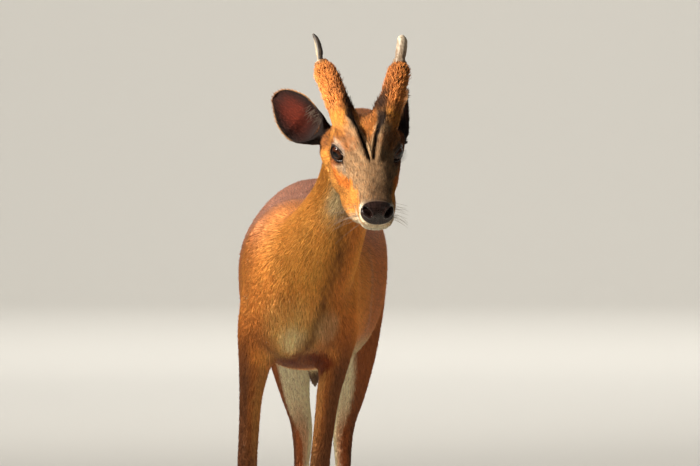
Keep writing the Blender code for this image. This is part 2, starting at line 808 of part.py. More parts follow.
def eyes_and_lids(head):
    """Opens an eye in the head on each side, with a thick rim for its lids, and sets the eyeball in it."""
    place = head_place()
    for side in (-1, 1):
        centre = eye_centre(side)
        rim = bmesh.new()
        loops = []
        for k in range(28):
            angle = math.tau * k / 28
            way = lid_direction(side, angle)
            ahead = (lid_direction(side, angle + 0.05) - lid_direction(side, angle - 0.05)).normalized()
            out = way.cross(ahead).normalized()
            circle = bmesh.ops.create_circle(rim, segments=8, radius=0.0019)["verts"]
            for v in circle:
                v.co = place @ (centre + way * (EYE_RADIUS + 0.0012 + v.co.x) + out * v.co.y)
            loops.append(circle)
        walls = [[rim.edges.get((a, b)) for a, b in zip(loop, loop[1:] + loop[:1])] for loop in loops]
        for near, far in zip(walls, walls[1:] + walls[:1]):
            bmesh.ops.bridge_loops(rim, edges=near + far)
        lids = object_of("lids", rim)
        boolean(head, lids, "UNION")
        remove(lids)
        opening = bmesh.new()
        near, far = [], []
        for k in range(28):
            angle = math.tau * k / 28
            near.append(opening.verts.new(place @ (centre + lid_direction(side, angle) * 0.004)))
        for k in range(28):
            angle = math.tau * k / 28
            far.append(opening.verts.new(place @ (centre + lid_direction(side, angle, 0.98) * 0.026)))
        for k in range(28):
            n = (k + 1) % 28
            opening.faces.new((near[k], near[n], far[n], far[k]))
        opening.faces.new(near)
        opening.faces.new(far)
        bmesh.ops.triangulate(opening, faces=opening.faces)
        window = object_of("opening", opening)
        boolean(head, window, "DIFFERENCE")
        remove(window)
        ball = bmesh.new()
        bmesh.ops.create_uvsphere(ball, u_segments=18, v_segments=10, radius=EYE_RADIUS + GAP)
        bmesh.ops.translate(ball, verts=ball.verts, vec=place @ centre)
        socket = object_of("socket", ball)
        boolean(head, socket, "DIFFERENCE")
        remove(socket)
        ball = bmesh.new()
        bmesh.ops.create_uvsphere(ball, u_segments=18, v_segments=10, radius=EYE_RADIUS)
        bmesh.ops.translate(ball, verts=ball.verts, vec=place @ centre)
        object_of("eye_" + name_side(side), ball, (0.02, 0.012, 0.008), 0.08)


def cut_lobes(made, lobes):
    """Takes ellipsoids out of a mass: each is a centre, radii, slope and turn in the head's frame."""
    place = head_place()
    for centre, radii, slope, turn in lobes:
        bm = bmesh.new()
        lobe(bm, centre, radii, slope=slope, turn=turn, place=place)
        cutter = object_of("cutter", bm)
        thin_out(cutter, 220)
        boolean(made, cutter, "DIFFERENCE")
        remove(cutter)


def mouth_and_nostrils(head):
    place = head_place()
    lobes = []
    for side in (-1, 1):
        x, y, z = NOSTRILS
        lobes.append(((side * x, y, z), (0.0052, 0.0070, 0.0048), 0, side * 20))
        lobes.append(((side * (x + 0.0050), y + 0.0045, z - 0.0035), (0.0034, 0.0062, 0.0018), 0, side * 40))
        # slit of the gland in front of the eye
        lobes.append(((side * 0.0340, -0.034, 0.0005), (0.0038, 0.0090, 0.0016), -24, side * -14))
    cut_lobes(head, lobes)
    # line of the mouth: a thin plate round the front of the jaws, a few millimetres deep
    bm = bmesh.new()
    bmesh.ops.create_cube(bm, size=1.0)
    bmesh.ops.scale(bm, verts=bm.verts, vec=(0.080, 0.080, 0.0013))
    turn = Matrix.Rotation(math.radians(-4), 4, "X")
    bm.transform(place @ Matrix.Translation((0.0, MOUTH_CORNER - 0.040, MOUTH_LEVEL)) @ turn)
    plate = object_of("plate", bm)
    core = bmesh.new()
    rings = []
    for ahead, top, bottom, level, half, egg, square in HEAD_STATIONS[1:-3]:
        up, down = top - level, level - bottom
        rings.append(ring(0.0, -ahead + 0.004, level, half, up, down, egg=egg, square=square))
    loft(core, rings, sides=24, steps=2, place=place, shrink=0.0045)
    core = object_of("core", core)
    boolean(plate, core, "DIFFERENCE")
    boolean(head, plate, "DIFFERENCE")
    remove(core)
    remove(plate)


def foot_place(leg):
    """Where the middle of a foot stands at the coronet, x and y."""
    stations = FORELEG_STATIONS if leg.fore else HINDLEG_STATIONS
    return sideways(leg, CORONET), stations[-1][1] + step_forward(leg, CORONET) - 0.001


def hooves(leg):
    """Two claws under a leg, flat on the floor, each blunt behind and pointed in front."""
    x, y = foot_place(leg)
    for side, name in ((1, "left"), (-1, "right")):
        bm = bmesh.new()
        rings = []
        for z, front, back, half, egg in (
            (CORONET - GAP / 2, 0.0125, 0.0122, 0.0057, -0.15),
            (0.0160, 0.0170, 0.0140, 0.0060, -0.22),
            (0.0060, 0.0225, 0.0150, 0.0061, -0.30),
            (0.0000, 0.0250, 0.0148, 0.0059, -0.34),
        ):
            rings.append(ring(x + side * 0.0066, y, z, half, front, back, slope=-90, egg=egg, square=2.6))
        loft(bm, rings, sides=16, steps=1)
        name = "hoof_" + leg.name.replace("leg", "").replace("fore", "front") + "_" + name
        object_of(name, bm, (0.035, 0.030, 0.028), 0.45)


def dewclaws(leg, lower):
    """Two small claws behind the fetlock, each in a socket of the leg."""
    x, _ = foot_place(leg)
    row = [r for r in (FORELEG_STATIONS if leg.fore else HINDLEG_STATIONS) if 0.05 < r[0] < 0.06][0]
    x = sideways(leg, row[0])
    y = row[1] + row[4] + step_forward(leg, row[0]) - 0.0030
    z = row[0] - 0.006
    for side, name in ((1, "left"), (-1, "right")):
        for grown in (GAP, 0.0):
            bm = bmesh.new()
            path = (
                (x + side * 0.0062, y - 0.0060 - grown, z + 0.0040 + grown, 0.0024 + grown),
                (x + side * 0.0066, y - 0.0010, z + 0.0006, 0.0032 + grown),
                (x + side * 0.0070, y + 0.0024, z - 0.0036, 0.0027 + grown),
                (x + side * 0.0072, y + 0.0042 + grown, z - 0.0074 - grown, 0.0011 + grown),
            )
            tube(bm, path, sides=10, steps=1)
            label = "dewclaw_" + leg.name.replace("leg", "").replace("fore", "front") + "_" + name
            claw = object_of("cutter" if grown else label, bm, (0.035, 0.030, 0.028), 0.45)
            if grown:
                boolean(lower, claw, "DIFFERENCE")
                remove(claw)


# The tail hangs behind the rump: x, y, z, half width, reach to the back, reach to the front
TAIL_STATIONS = (
    (0.318, 0.497, 0.0140, 0.0100, 0.0100, -20),
    (0.338, 0.490, 0.0140, 0.0095, 0.0095, -28),
    (0.356, 0.474, 0.0135, 0.0080, 0.0080, -58),
    (0.364, 0.450, 0.0135, 0.0070, 0.0070, -80),
    (0.366, 0.420, 0.0135, 0.0062, 0.0062, -88),
    (0.365, 0.390, 0.0115, 0.0052, 0.0052, -92),
    (0.363, 0.365, 0.0075, 0.0040, 0.0040, -94),
    (0.362, 0.355, 0.0030, 0.0020, 0.0020, -94),
)
TAIL_CUT = (Vector((0.0, 0.3465, 0.4850)), Vector((0.0, 0.86, -0.51)))


def tail_mass(bm, last=None, sides=16):
    rings = []
    for y, z, half, back, front, slope in TAIL_STATIONS[:last]:
        rings.append(ring(0.0, y, z, half, back, front, slope=slope, turn=180))
    loft(bm, rings, sides=sides, steps=2)


TAIL_LOCKS = 22
LOCK_LENGTH, LOCK_WIDTH, LOCK_THICK = 0.040, 0.0085, 0.0030

# Along a lock: share of its length, of its width, of its thickness, and its lift off the tail
LOCK_TAPER = (
    (0.0, 0.55, 0.9, -0.0030),
    (0.35, 1.0, 1.0, -0.0002),
    (0.72, 0.75, 0.8, 0.0014),
    (1.0, 0.16, 0.3, 0.0016),
)


def tail_locks(tail):
    """Fuses flat tapered locks of hair on to the tail, overlapping like tiles and rooted in its core."""
    rng = np.random.default_rng(5)
    rows = smooth_through([(0.0, y, z, half, back) for y, z, half, back, _, _ in TAIL_STATIONS], 6)
    held = bpy.data.collections.new("locks")
    bpy.context.scene.collection.children.link(held)
    first, last = 14, len(rows) - 9
    for k in range(TAIL_LOCKS):
        share = k / (TAIL_LOCKS - 1)
        i = int(first + (last - first) * share)
        here, ahead = Vector(rows[i][:3]), Vector(rows[i + 1][:3])
        along = (ahead - here).normalized()
        side = Vector((1.0, 0.0, 0.0))
        out = along.cross(side)
        angle = k * 2.4 + rng.uniform(-0.25, 0.25)
        away = side * math.cos(angle) + out * math.sin(angle)
        across = side * -math.sin(angle) + out * math.cos(angle)
        surface = math.hypot(rows[i][3] * math.cos(angle), rows[i][4] * math.sin(angle))
        length = LOCK_LENGTH * rng.uniform(0.85, 1.1)
        bm = bmesh.new()
        loops = []
        for t, wide, thick, lift in LOCK_TAPER:
            middle = here + along * length * t + away * (surface + lift)
            w, d = across * LOCK_WIDTH * wide / 2, away * LOCK_THICK * thick / 2
            loops.append([bm.verts.new(middle + c) for c in (w + d, w - d, -w - d, -w + d)])
        for near, far in zip(loops, loops[1:]):
            for j in range(4):
                bm.faces.new((near[j], near[(j + 1) % 4], far[(j + 1) % 4], far[j]))
        bm.faces.new(loops[0])
        bm.faces.new(loops[-1])
        bmesh.ops.triangulate(bm, faces=bm.faces)
        lock = object_of("lock", bm)
        bpy.context.scene.collection.objects.unlink(lock)
        held.objects.link(lock)
    union = tail.modifiers.new("locks", "BOOLEAN")
    union.operation = "UNION"
    union.operand_type = "COLLECTION"
    union.solver = "EXACT"
    union.collection = held
    applied(tail)
    for lock in list(held.objects):
        remove(lock)
    bpy.data.collections.remove(held)


def clear_scene():
    for old in list(bpy.data.objects):
        bpy.data.objects.remove(old)


def settle():
    """Moves everything so that the box of the whole stands on the floor with its middle at the origin."""
    low, high = Vector((9, 9, 9)), Vector((-9, -9, -9))
    for made in bpy.data.objects:
        for v in made.data.vertices:
            low = Vector(map(min, low, v.co))
            high = Vector(map(max, high, v.co))
    shift = Matrix.Translation((-(low.x + high.x) / 2, -(low.y + high.y) / 2, -low.z))
    for made in bpy.data.objects:
        made.data.transform(shift)


COAT = (0.50, 0.24, 0.08)
DARK = (0.22, 0.11, 0.06)


def main():
    clear_scene()
    body = bmesh.new()
    trunk(body)
    neck(body)
    tail_mass(body, 3)
    for leg in LEGS:
        leg_mass(body, leg)
    body = ease(fused("body", body, 0.0038), 18)
    head = bmesh.new()
    neck(head)
    skull(head)
    head = reshaped(ease(fused("head_mass", head, 0.0020), 9), narrow_face)
    thin_out(body, 4200)
    thin_out(head, 3300)

    neck_part = part_of(body, "neck", [NECK_TOP, (NECK_BASE[0], -NECK_BASE[1])])
    paint(neck_part, COAT)
    torso = copy_of(body, "torso")
    without(torso, [(NECK_BASE[0], -NECK_BASE[1])])
    for leg in LEGS:
        planes = leg_planes(leg)
        level = Vector((0.0, 0.0, joint_height(leg)))
        floor = Vector((0.0, 0.0, CORONET))
        up = Vector((0.0, 0.0, 1.0))
        paint(part_of(body, leg.name + "_upper", planes + [(level, -up)]), COAT)
        lower = part_of(body, leg.name + "_lower", planes + [(level, up), (floor, -up)])
        paint(lower, DARK)
        without(torso, planes)
        hooves(leg)
        dewclaws(leg, lower)
    remove(body)
    # the tail's root stays with the trunk as far as its cut
    without(torso, [(TAIL_CUT[0], -TAIL_CUT[1]), ((0, 0, 0.455), Vector((0, 0, -1)))])
    paint(torso, COAT)
    tail = bmesh.new()
    tail_mass(tail, sides=10)
    tail = object_of("tail_mass", tail)
    hanging = part_of(tail, "tail", [(TAIL_CUT[0], -TAIL_CUT[1])])
    tail_locks(hanging)
    paint(largest_piece(hanging), COAT)
    remove(tail)

    skin = part_of(head, "head", [(NECK_TOP[0], -NECK_TOP[1])])
    for side in (-1, 1):
        paint(part_of(head, "pedicle_" + name_side(side), pedicle_planes(side)), COAT)
        planes = pedicle_planes(side)
        without(skin, [planes[0], planes[2], planes[3]])
        ear_end(skin, side)
        make_room(skin, ear(side))
        antler(side)
    remove(head)
    eyes_and_lids(skin)
    mouth_and_nostrils(skin)
    largest_piece(skin)
    paint(skin, COAT)
    settle()


main()
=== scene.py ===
"""The looks of a life-size muntjac: one skin with lids, nose and ears, a short coat in tufts, glossy eyes, antlers and hooves.

Everything is built in the animal's own frame, where EYE_MIDDLE is between the eyes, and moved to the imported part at
the end. Metres, +Z up, the animal faces -Y and its own left side is +X.
"""

import json
import math
from collections import namedtuple

import bmesh
import bpy
import numpy as np
from mathutils import Matrix, Vector
from mathutils.bvhtree import BVHTree

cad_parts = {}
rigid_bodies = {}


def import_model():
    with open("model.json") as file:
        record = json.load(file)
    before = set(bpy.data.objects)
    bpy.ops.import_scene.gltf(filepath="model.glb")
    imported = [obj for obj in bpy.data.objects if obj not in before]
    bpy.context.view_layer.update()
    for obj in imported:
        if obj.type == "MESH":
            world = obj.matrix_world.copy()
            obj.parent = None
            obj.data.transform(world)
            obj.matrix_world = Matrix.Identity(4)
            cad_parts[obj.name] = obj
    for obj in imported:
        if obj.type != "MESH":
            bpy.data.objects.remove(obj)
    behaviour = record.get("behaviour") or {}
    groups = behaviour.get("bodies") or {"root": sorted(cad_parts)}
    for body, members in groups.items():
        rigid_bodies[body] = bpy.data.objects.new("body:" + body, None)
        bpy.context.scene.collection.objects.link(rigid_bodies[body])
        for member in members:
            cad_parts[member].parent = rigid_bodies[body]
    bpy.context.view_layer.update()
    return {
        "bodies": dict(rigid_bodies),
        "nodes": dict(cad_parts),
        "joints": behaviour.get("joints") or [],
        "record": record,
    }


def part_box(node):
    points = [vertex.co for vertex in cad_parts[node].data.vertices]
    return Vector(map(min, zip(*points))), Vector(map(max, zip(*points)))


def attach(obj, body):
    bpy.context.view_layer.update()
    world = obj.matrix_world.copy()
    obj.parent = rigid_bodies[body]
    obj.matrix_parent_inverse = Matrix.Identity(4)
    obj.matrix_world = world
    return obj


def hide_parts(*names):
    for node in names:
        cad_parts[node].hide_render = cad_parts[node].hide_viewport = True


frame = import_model()
FLESH = [
    name
    for name in frame["nodes"]
    if name.split("_")[0] in ("head", "neck", "torso", "tail", "foreleg", "hindleg", "ear", "pedicle")
]

# Voxels of the fused masses and rounds of smoothing
BODY_VOXEL, BODY_ROUNDS = 0.0064, 7
HEAD_VOXEL, HEAD_ROUNDS = 0.0021, 8
LONG_TUFTS, SHORT_TUFTS = 20000, 430000
SEED = 11

# Heights of the trunk's outline and its widths, from the front of the chest to the rump
TRUNK_STATIONS = (
    # y, top, bottom, level of the widest point, half width
    (-0.292, 0.425, 0.376, 0.400, 0.024),
    (-0.275, 0.465, 0.342, 0.398, 0.050),
    (-0.235, 0.503, 0.320, 0.402, 0.068),
    (-0.170, 0.528, 0.307, 0.408, 0.077),
    (-0.090, 0.529, 0.300, 0.418, 0.088),
    (0.000, 0.529, 0.296, 0.428, 0.097),
    (0.080, 0.537, 0.298, 0.434, 0.100),
    (0.150, 0.549, 0.316, 0.440, 0.097),
    (0.220, 0.5545, 0.344, 0.446, 0.088),
    (0.280, 0.542, 0.366, 0.450, 0.074),
    (0.322, 0.511, 0.394, 0.450, 0.051),
    (0.342, 0.474, 0.420, 0.447, 0.025),
)

EYE_MIDDLE = (0.1020, -0.4400, 0.5900)
HEAD_SLOPE = -38.5
HEAD_TURN = 11.0

Ring = namedtuple("Ring", "x y z half up down slope turn egg square")
Leg = namedtuple("Leg", "name side fore sideways step")

# sideways: how far from the trunk's middle a leg's axis runs at each height, from the shoulder or hip to the floor
LEGS = (
    Leg(
        "foreleg_right",
        -1,
        True,
        ((0.415, -0.050), (0.355, -0.053), (0.310, -0.0580), (0.270, -0.0640), (0.190, -0.0680), (0.0, -0.0720)),
        -0.004,
    ),
    Leg(
        "foreleg_left",
        1,
        True,
        ((0.415, 0.050), (0.355, 0.050), (0.310, 0.0430), (0.270, 0.0370), (0.190, 0.0272), (0.090, 0.0250), (0.0, 0.0265)),
        -0.012,
    ),
    Leg(
        "hindleg_right",
        -1,
        False,
        ((0.50, -0.042), (0.40, -0.046), (0.31, -0.0435), (0.27, -0.0410), (0.236, -0.0370), (0.20, -0.0305), (0.0, -0.0350)),
        0.006,
    ),
    Leg(
        "hindleg_left",
        1,
        False,
        ((0.50, 0.042), (0.40, 0.048), (0.31, 0.0455), (0.27, 0.0420), (0.236, 0.0362), (0.20, 0.0265), (0.0, 0.0285)),
        -0.006,
    ),
)

# height, y, half width, reach to the front, reach to the back
FORELEG_STATIONS = (
    (0.415, -0.198, 0.026, 0.040, 0.042),
    (0.355, -0.205, 0.0285, 0.044, 0.044),
    (0.318, -0.199, 0.0230, 0.034, 0.038),
    (0.275, -0.195, 0.0165, 0.0235, 0.0255),
    (0.225, -0.195, 0.0142, 0.0180, 0.0185),
    (0.183, -0.197, 0.0140, 0.0165, 0.0160),
    (0.160, -0.197, 0.0136, 0.0162, 0.0168),
    (0.138, -0.196, 0.0110, 0.0125, 0.0145),
    (0.100, -0.196, 0.0102, 0.0110, 0.0126),
    (0.068, -0.197, 0.0116, 0.0118, 0.0138),
    (0.052, -0.200, 0.0130, 0.0128, 0.0150),
    (0.038, -0.208, 0.0126, 0.0130, 0.0130),
    (0.018, -0.220, 0.0134, 0.0150, 0.0145),
)

HINDLEG_STATIONS = (
    (0.500, 0.240, 0.036, 0.050, 0.050),
    (0.455, 0.238, 0.044, 0.078, 0.078),
    (0.400, 0.225, 0.043, 0.086, 0.080),
    (0.350, 0.214, 0.0390, 0.070, 0.062),
    (0.310, 0.221, 0.0325, 0.050, 0.046),
    (0.270, 0.244, 0.0250, 0.0345, 0.0300),
    (0.236, 0.267, 0.0195, 0.0250, 0.0240),
    (0.210, 0.282, 0.0162, 0.0205, 0.0230),
    (0.188, 0.286, 0.0145, 0.0178, 0.0188),
    (0.160, 0.283, 0.0122, 0.0142, 0.0146),
    (0.110, 0.273, 0.0108, 0.0120, 0.0128),
    (0.070, 0.265, 0.0119, 0.0122, 0.0142),
    (0.054, 0.261, 0.0131, 0.0128, 0.0150),
    (0.040, 0.254, 0.0125, 0.0128, 0.0130),
    (0.018, 0.243, 0.0132, 0.0148, 0.0142),
)

CORONET = 0.0245


def axes(slope, turn):
    """Unit vectors along a mass, to the animal's left and to its upper side, for a slope and a turn in degrees."""
    s, t = math.radians(slope), math.radians(turn)
    forward = Vector((math.sin(t) * math.cos(s), -math.cos(t) * math.cos(s), math.sin(s)))
    left = Vector((math.cos(t), math.sin(t), 0.0))
    return forward, left, forward.cross(left)


def ring(x, y, z, half, up, down, slope=0.0, turn=0.0, egg=0.0, square=2.0):
    return Ring(x, y, z, half, up, down, slope, turn, egg, square)


def smooth_through(rows, steps):
    """Rows of numbers on a smooth curve through the given rows, with this many steps between two of them."""
    rows = np.array(rows, float)
    gaps = np.linalg.norm(np.diff(rows[:, :3], axis=0), axis=1)
    at = np.concatenate([[0.0], np.cumsum(np.maximum(gaps, 1e-4))])
    slopes = np.gradient(rows, at, axis=0)
    found = []
    for i in range(len(rows) - 1):
        span = at[i + 1] - at[i]
        for k in range(steps):
            t = k / steps
            found.append(
                (2 * t**3 - 3 * t**2 + 1) * rows[i]
                + (t**3 - 2 * t**2 + t) * span * slopes[i]
                + (3 * t**2 - 2 * t**3) * rows[i + 1]
                + (t**3 - t**2) * span * slopes[i + 1]
            )
    return found + [rows[-1]]


def join_loops(bm, loops):
    """Walls between consecutive rings of vertices, and a cap at each end."""
    rims = []
    for loop in loops:
        rims.append([bm.edges.get((a, b)) for a, b in zip(loop, loop[1:] + loop[:1])])
    for near, far in zip(rims, rims[1:]):
        bmesh.ops.bridge_loops(bm, edges=near + far)
    for rim in (rims[0], rims[-1]):
        bmesh.ops.contextual_create(bm, geom=rim)


def loft(bm, rings, sides=32, steps=4, place=None, shrink=0.0):
    """A closed mass through the rings. Each ring is a rounded outline with its own reach up, down and to each side."""
    loops = []
    for row in smooth_through(rings, steps):
        r = Ring(*row)
        _, left, up = axes(r.slope, r.turn)
        circle = bmesh.ops.create_circle(bm, segments=sides, radius=1.0)["verts"]
        for v in circle:
            c, s = v.co.x, v.co.y
            wide = math.copysign(abs(c) ** (2 / r.square), c) * max(r.half - shrink, 0.002) * (1 + r.egg * s)
            reach = max((r.up if s > 0 else r.down) - shrink, 0.002)
            tall = math.copysign(abs(s) ** (2 / r.square), s) * reach
            v.co = Vector((r.x, r.y, r.z)) + left * wide + up * tall
            if place:
                v.co = place @ v.co
        loops.append(circle)
    join_loops(bm, loops)


def tube(bm, path, sides=16, steps=4, place=None, flat=1.0):
    """A closed round rod through (x, y, z, radius) rows, thinner across its own upright by the share flat."""
    rows = smooth_through(path, steps)
    points = [Vector(r[:3]) for r in rows]
    loops = []
    for i, row in enumerate(rows):
        along = (points[min(i + 1, len(points) - 1)] - points[max(i - 1, 0)]).normalized()
        side = along.cross(Vector((0, 0, 1)) if abs(along.z) < 0.95 else Vector((0, -1, 0))).normalized()
        over = side.cross(along)
        circle = bmesh.ops.create_circle(bm, segments=sides, radius=1.0)["verts"]
        for v in circle:
            v.co = points[i] + side * v.co.x * row[3] + over * v.co.y * row[3] * flat
            if place:
                v.co = place @ v.co
        loops.append(circle)
    join_loops(bm, loops)


def lobe(bm, at, radii, slope=0.0, turn=0.0, place=None):
    """An ellipsoid, its first radius to the side, its second along the mass and its third upright."""
    forward, left, up = axes(slope, turn)
    turned = Matrix((left, -forward, up)).transposed().to_4x4()
    matrix = Matrix.Translation(at) @ turned @ Matrix.Diagonal((*radii, 1.0))
    if place:
        matrix = place @ matrix
    bmesh.ops.create_icosphere(bm, subdivisions=4, radius=1.0, matrix=matrix)


def head_place():
    """The matrix from the head's own frame, whose origin is between the eyes, to the animal's."""
    forward, left, up = axes(HEAD_SLOPE, HEAD_TURN)
    turned = Matrix((left, -forward, up)).transposed().to_4x4()
    return Matrix.Translation(EYE_MIDDLE) @ turned


def trunk(bm):
    rings = []
    for y, top, bottom, level, half in TRUNK_STATIONS:
        rings.append(ring(0.0, y, level, half, top - level, level - bottom, square=2.25))
    loft(bm, rings, sides=40)
    for side in (-1, 1):
        # shoulder blade, upper arm and the haunch's rounding
        lobe(bm, (side * 0.046, -0.165, 0.425), (0.033, 0.058, 0.084), slope=-18)
        lobe(bm, (side * 0.046, -0.215, 0.376), (0.028, 0.046, 0.048), slope=25)
        lobe(bm, (side * 0.050, 0.235, 0.440), (0.040, 0.086, 0.082), slope=20)
    # breastbone
    lobe(bm, (0.0, -0.222, 0.360), (0.034, 0.055, 0.038), slope=-8)
    # sheath under the belly, of a male
    lobe(bm, (0.0, 0.092, 0.298), (0.0095, 0.034, 0.030), slope=14)


NECK_RINGS = (
    ring(0.000, -0.150, 0.420, 0.060, 0.092, 0.080, 12, 0),
    ring(0.008, -0.205, 0.440, 0.064, 0.082, 0.090, 26, 2),
    ring(0.026, -0.252, 0.468, 0.058, 0.068, 0.076, 40, 5),
    ring(0.048, -0.290, 0.503, 0.048, 0.055, 0.058, 48, 7),
    ring(0.069, -0.322, 0.541, 0.0415, 0.048, 0.048, 50, 9),
    ring(0.083, -0.350, 0.580, 0.0415, 0.045, 0.044, 46, 10),
    ring(0.093, -0.374, 0.608, 0.0350, 0.034, 0.038, 30, 11),
)


def neck(bm):
    loft(bm, NECK_RINGS, sides=36)


def sideways(leg, height):
    """How far from the trunk's middle a leg's axis runs at a height."""
    heights = [h for h, _ in reversed(leg.sideways)]
    places = [x for _, x in reversed(leg.sideways)]
    return float(np.interp(height, heights, places))


def step_forward(leg, height):
    """How far back a leg stands at a height, next to the other of its pair."""
    knee = 0.17 if leg.fore else 0.23
    return leg.step * max(0.0, 1 - height / (2 * knee))


def leg_mass(bm, leg):
    rings = []
    for z, y, half, front, back in FORELEG_STATIONS if leg.fore else HINDLEG_STATIONS:
        rings.append(ring(sideways(leg, z), y + step_forward(leg, z), z, half, front, back, slope=-90, square=2.1))
    loft(bm, rings, sides=24, steps=3)


# The head in its own frame: forward is -Y, so a station's y is minus its distance ahead of the eyes
HEAD_STATIONS = (
    # ahead of the eyes, top, bottom, level of the widest point, half width, egg, square
    (0.1305, 0.0050, -0.0110, -0.0030, 0.0120, 0.0, 2.2),
    (0.1270, 0.0112, -0.0190, -0.0040, 0.0176, 0.0, 2.3),
    (0.1180, 0.0155, -0.0280, -0.0070, 0.0207, 0.03, 2.4),
    (0.0980, 0.0172, -0.0345, -0.0100, 0.0222, 0.02, 2.4),
    (0.0720, 0.0187, -0.0425, -0.0120, 0.0270, 0.02, 2.5),
    (0.0480, 0.0208, -0.0505, -0.0130, 0.0332, 0.02, 2.5),
    (0.0240, 0.0235, -0.0580, -0.0130, 0.0392, 0.02, 2.5),
    (0.0000, 0.0255, -0.0625, -0.0110, 0.0425, 0.02, 2.5),
    (-0.0240, 0.0272, -0.0640, -0.0080, 0.0436, 0.02, 2.4),
    (-0.0460, 0.0245, -0.0600, -0.0080, 0.0416, 0.03, 2.2),
    (-0.0680, 0.0160, -0.0500, -0.0110, 0.0365, 0.02, 2.1),
    (-0.0860, 0.0040, -0.0380, -0.0150, 0.0280, 0.0, 2.0),
    (-0.0960, -0.0080, -0.0270, -0.0170, 0.0160, 0.0, 2.0),
)
EYE_OUT, EYE_UP, EYE_RADIUS = 0.0315, 0.0020, 0.0130
EYE_TURN, EYE_TILT = 50.0, 6.0
# Half the opening between the lids, as an angle at the middle of the eye
LID_WIDE, LID_TALL = 58.0, 38.0
LID_THICK = 0.0024
PEDICLE_ROOT = (0.0285, 0.034, 0.022)
PEDICLE_TIP = (0.0508, 0.1075, 0.0560)
PEDICLE_RADIUS = 0.0147
PEDICLE_CUT = 0.30
NOSTRILS = (0.0118, -0.1255, 0.0020)
MOUTH_LEVEL, MOUTH_CORNER = -0.0215, -0.060


def eye_axes(side):
    """Outward, forward and upright unit vectors of an eye, in the head's frame."""
    t, e = math.radians(EYE_TURN), math.radians(EYE_TILT)
    outward = Vector((side * math.sin(t) * math.cos(e), -math.cos(t) * math.cos(e), math.sin(e)))
    forward = outward.cross(Vector((0, 0, 1))).normalized() * -side
    return outward, forward, outward.cross(forward).normalized() * -side


def eye_centre(side):
    return Vector((side * EYE_OUT, 0.0, EYE_UP))


def lid_direction(side, angle, wide=1.0):
    """The way from the middle of an eye to its opening's edge, which is an almond with its corners fore and aft."""
    outward, forward, upright = eye_axes(side)
    along, over = math.cos(angle), math.sin(angle)
    across = math.radians(LID_WIDE * wide) * along
    rise = math.radians(LID_TALL * wide) * over * (1 - 0.22 * abs(along) ** 3)
    # the front corner lies lower than the back one
    rise -= 0.14 * across
    turn = math.hypot(across, rise)
    way = (forward * across + upright * rise) / turn
    return outward * math.cos(turn) + way * math.sin(turn)


def skull(bm):
    place = head_place()
    rings = []
    for ahead, top, bottom, level, half, egg, square in HEAD_STATIONS:
        rings.append(ring(0.0, -ahead, level, half, top - level, level - bottom, egg=egg, square=square))
    loft(bm, rings, sides=36, place=place)
    for side in (-1, 1):
        # muscle under the ear, muscle of the jaw, cheek bone, brow, lids and lip
        lobe(bm, (side * 0.0400, 0.0470, -0.0330), (0.0125, 0.0240, 0.0230), slope=-30, place=place)
        lobe(bm, (side * 0.0265, 0.008, -0.038), (0.0170, 0.044, 0.026), slope=12, place=place)
        lobe(bm, (side * 0.0210, -0.054, -0.0370), (0.0125, 0.050, 0.0140), slope=11, turn=side * -6, place=place)
        lobe(bm, (side * 0.0310, -0.022, -0.011), (0.0120, 0.036, 0.0120), slope=10, turn=side * -14, place=place)
        lobe(bm, (side * 0.0300, 0.008, 0.0155), (0.0125, 0.024, 0.0085), slope=6, place=place)
        lobe(bm, eye_centre(side), [EYE_RADIUS + LID_THICK] * 3, place=place)
        lobe(bm, (side * 0.0125, -0.100, -0.0140), (0.0105, 0.024, 0.0100), slope=4, place=place)
        # ridges run from the pedicles to the bridge of the nose
        x, y, z = PEDICLE_ROOT
        tube(
            bm,
            [
                (side * x, y, z, 0.0150),
                (side * (x - 0.0060), y - 0.024, z + 0.0040, 0.0105),
                (side * (x - 0.0145), y - 0.054, z - 0.0015, 0.0065),
                (side * (x - 0.0235), y - 0.084, z - 0.0045, 0.0035),
            ],
            place=place,
        )
        # the inner foot of the pedicle
        tube(
            bm,
            [
                (side * 0.0115, 0.040, 0.0135, 0.0090),
                (side * 0.0190, 0.054, 0.0220, 0.0096),
                (side * 0.0265, 0.064, 0.0285, 0.0088),
                (side * 0.0330, 0.072, 0.0335, 0.0070),
            ],
            place=place,
        )
        pedicle(bm, side, place)
        ear_boss(bm, side)


# Along a pedicle: share of its length, share of its radius
PEDICLE_TAPER = ((-0.15, 0.85), (0.0, 0.98), (0.3, 0.97), (0.62, 0.93), (0.84, 0.90), (0.95, 0.76), (1.02, 0.54))


def pedicle(bm, side, place):
    root, tip = Vector(PEDICLE_ROOT), Vector(PEDICLE_TIP)
    rows = []
    for share, radius in PEDICLE_TAPER:
        p = root.lerp(tip, share)
        rows.append((side * (p.x - 0.002 * math.sin(math.pi * max(share, 0.0))), p.y, p.z, PEDICLE_RADIUS * radius))
    tube(bm, rows, place=place, sides=20)


# Each ear: its root in the head's frame, how far its stalk stands out, its axis and the way its cup faces
EARS = {
    -1: (Vector((-0.0363, 0.0460, -0.0189)), 0.013, Vector((-0.790, 0.287, 0.534)), Vector((-0.10, -0.97, 0.12))),
    1: (Vector((0.0388, 0.0440, -0.0215)), 0.017, Vector((0.080, 0.790, 0.600)), Vector((0.93, 0.14, 0.10))),
}
EAR_LENGTH = 0.097
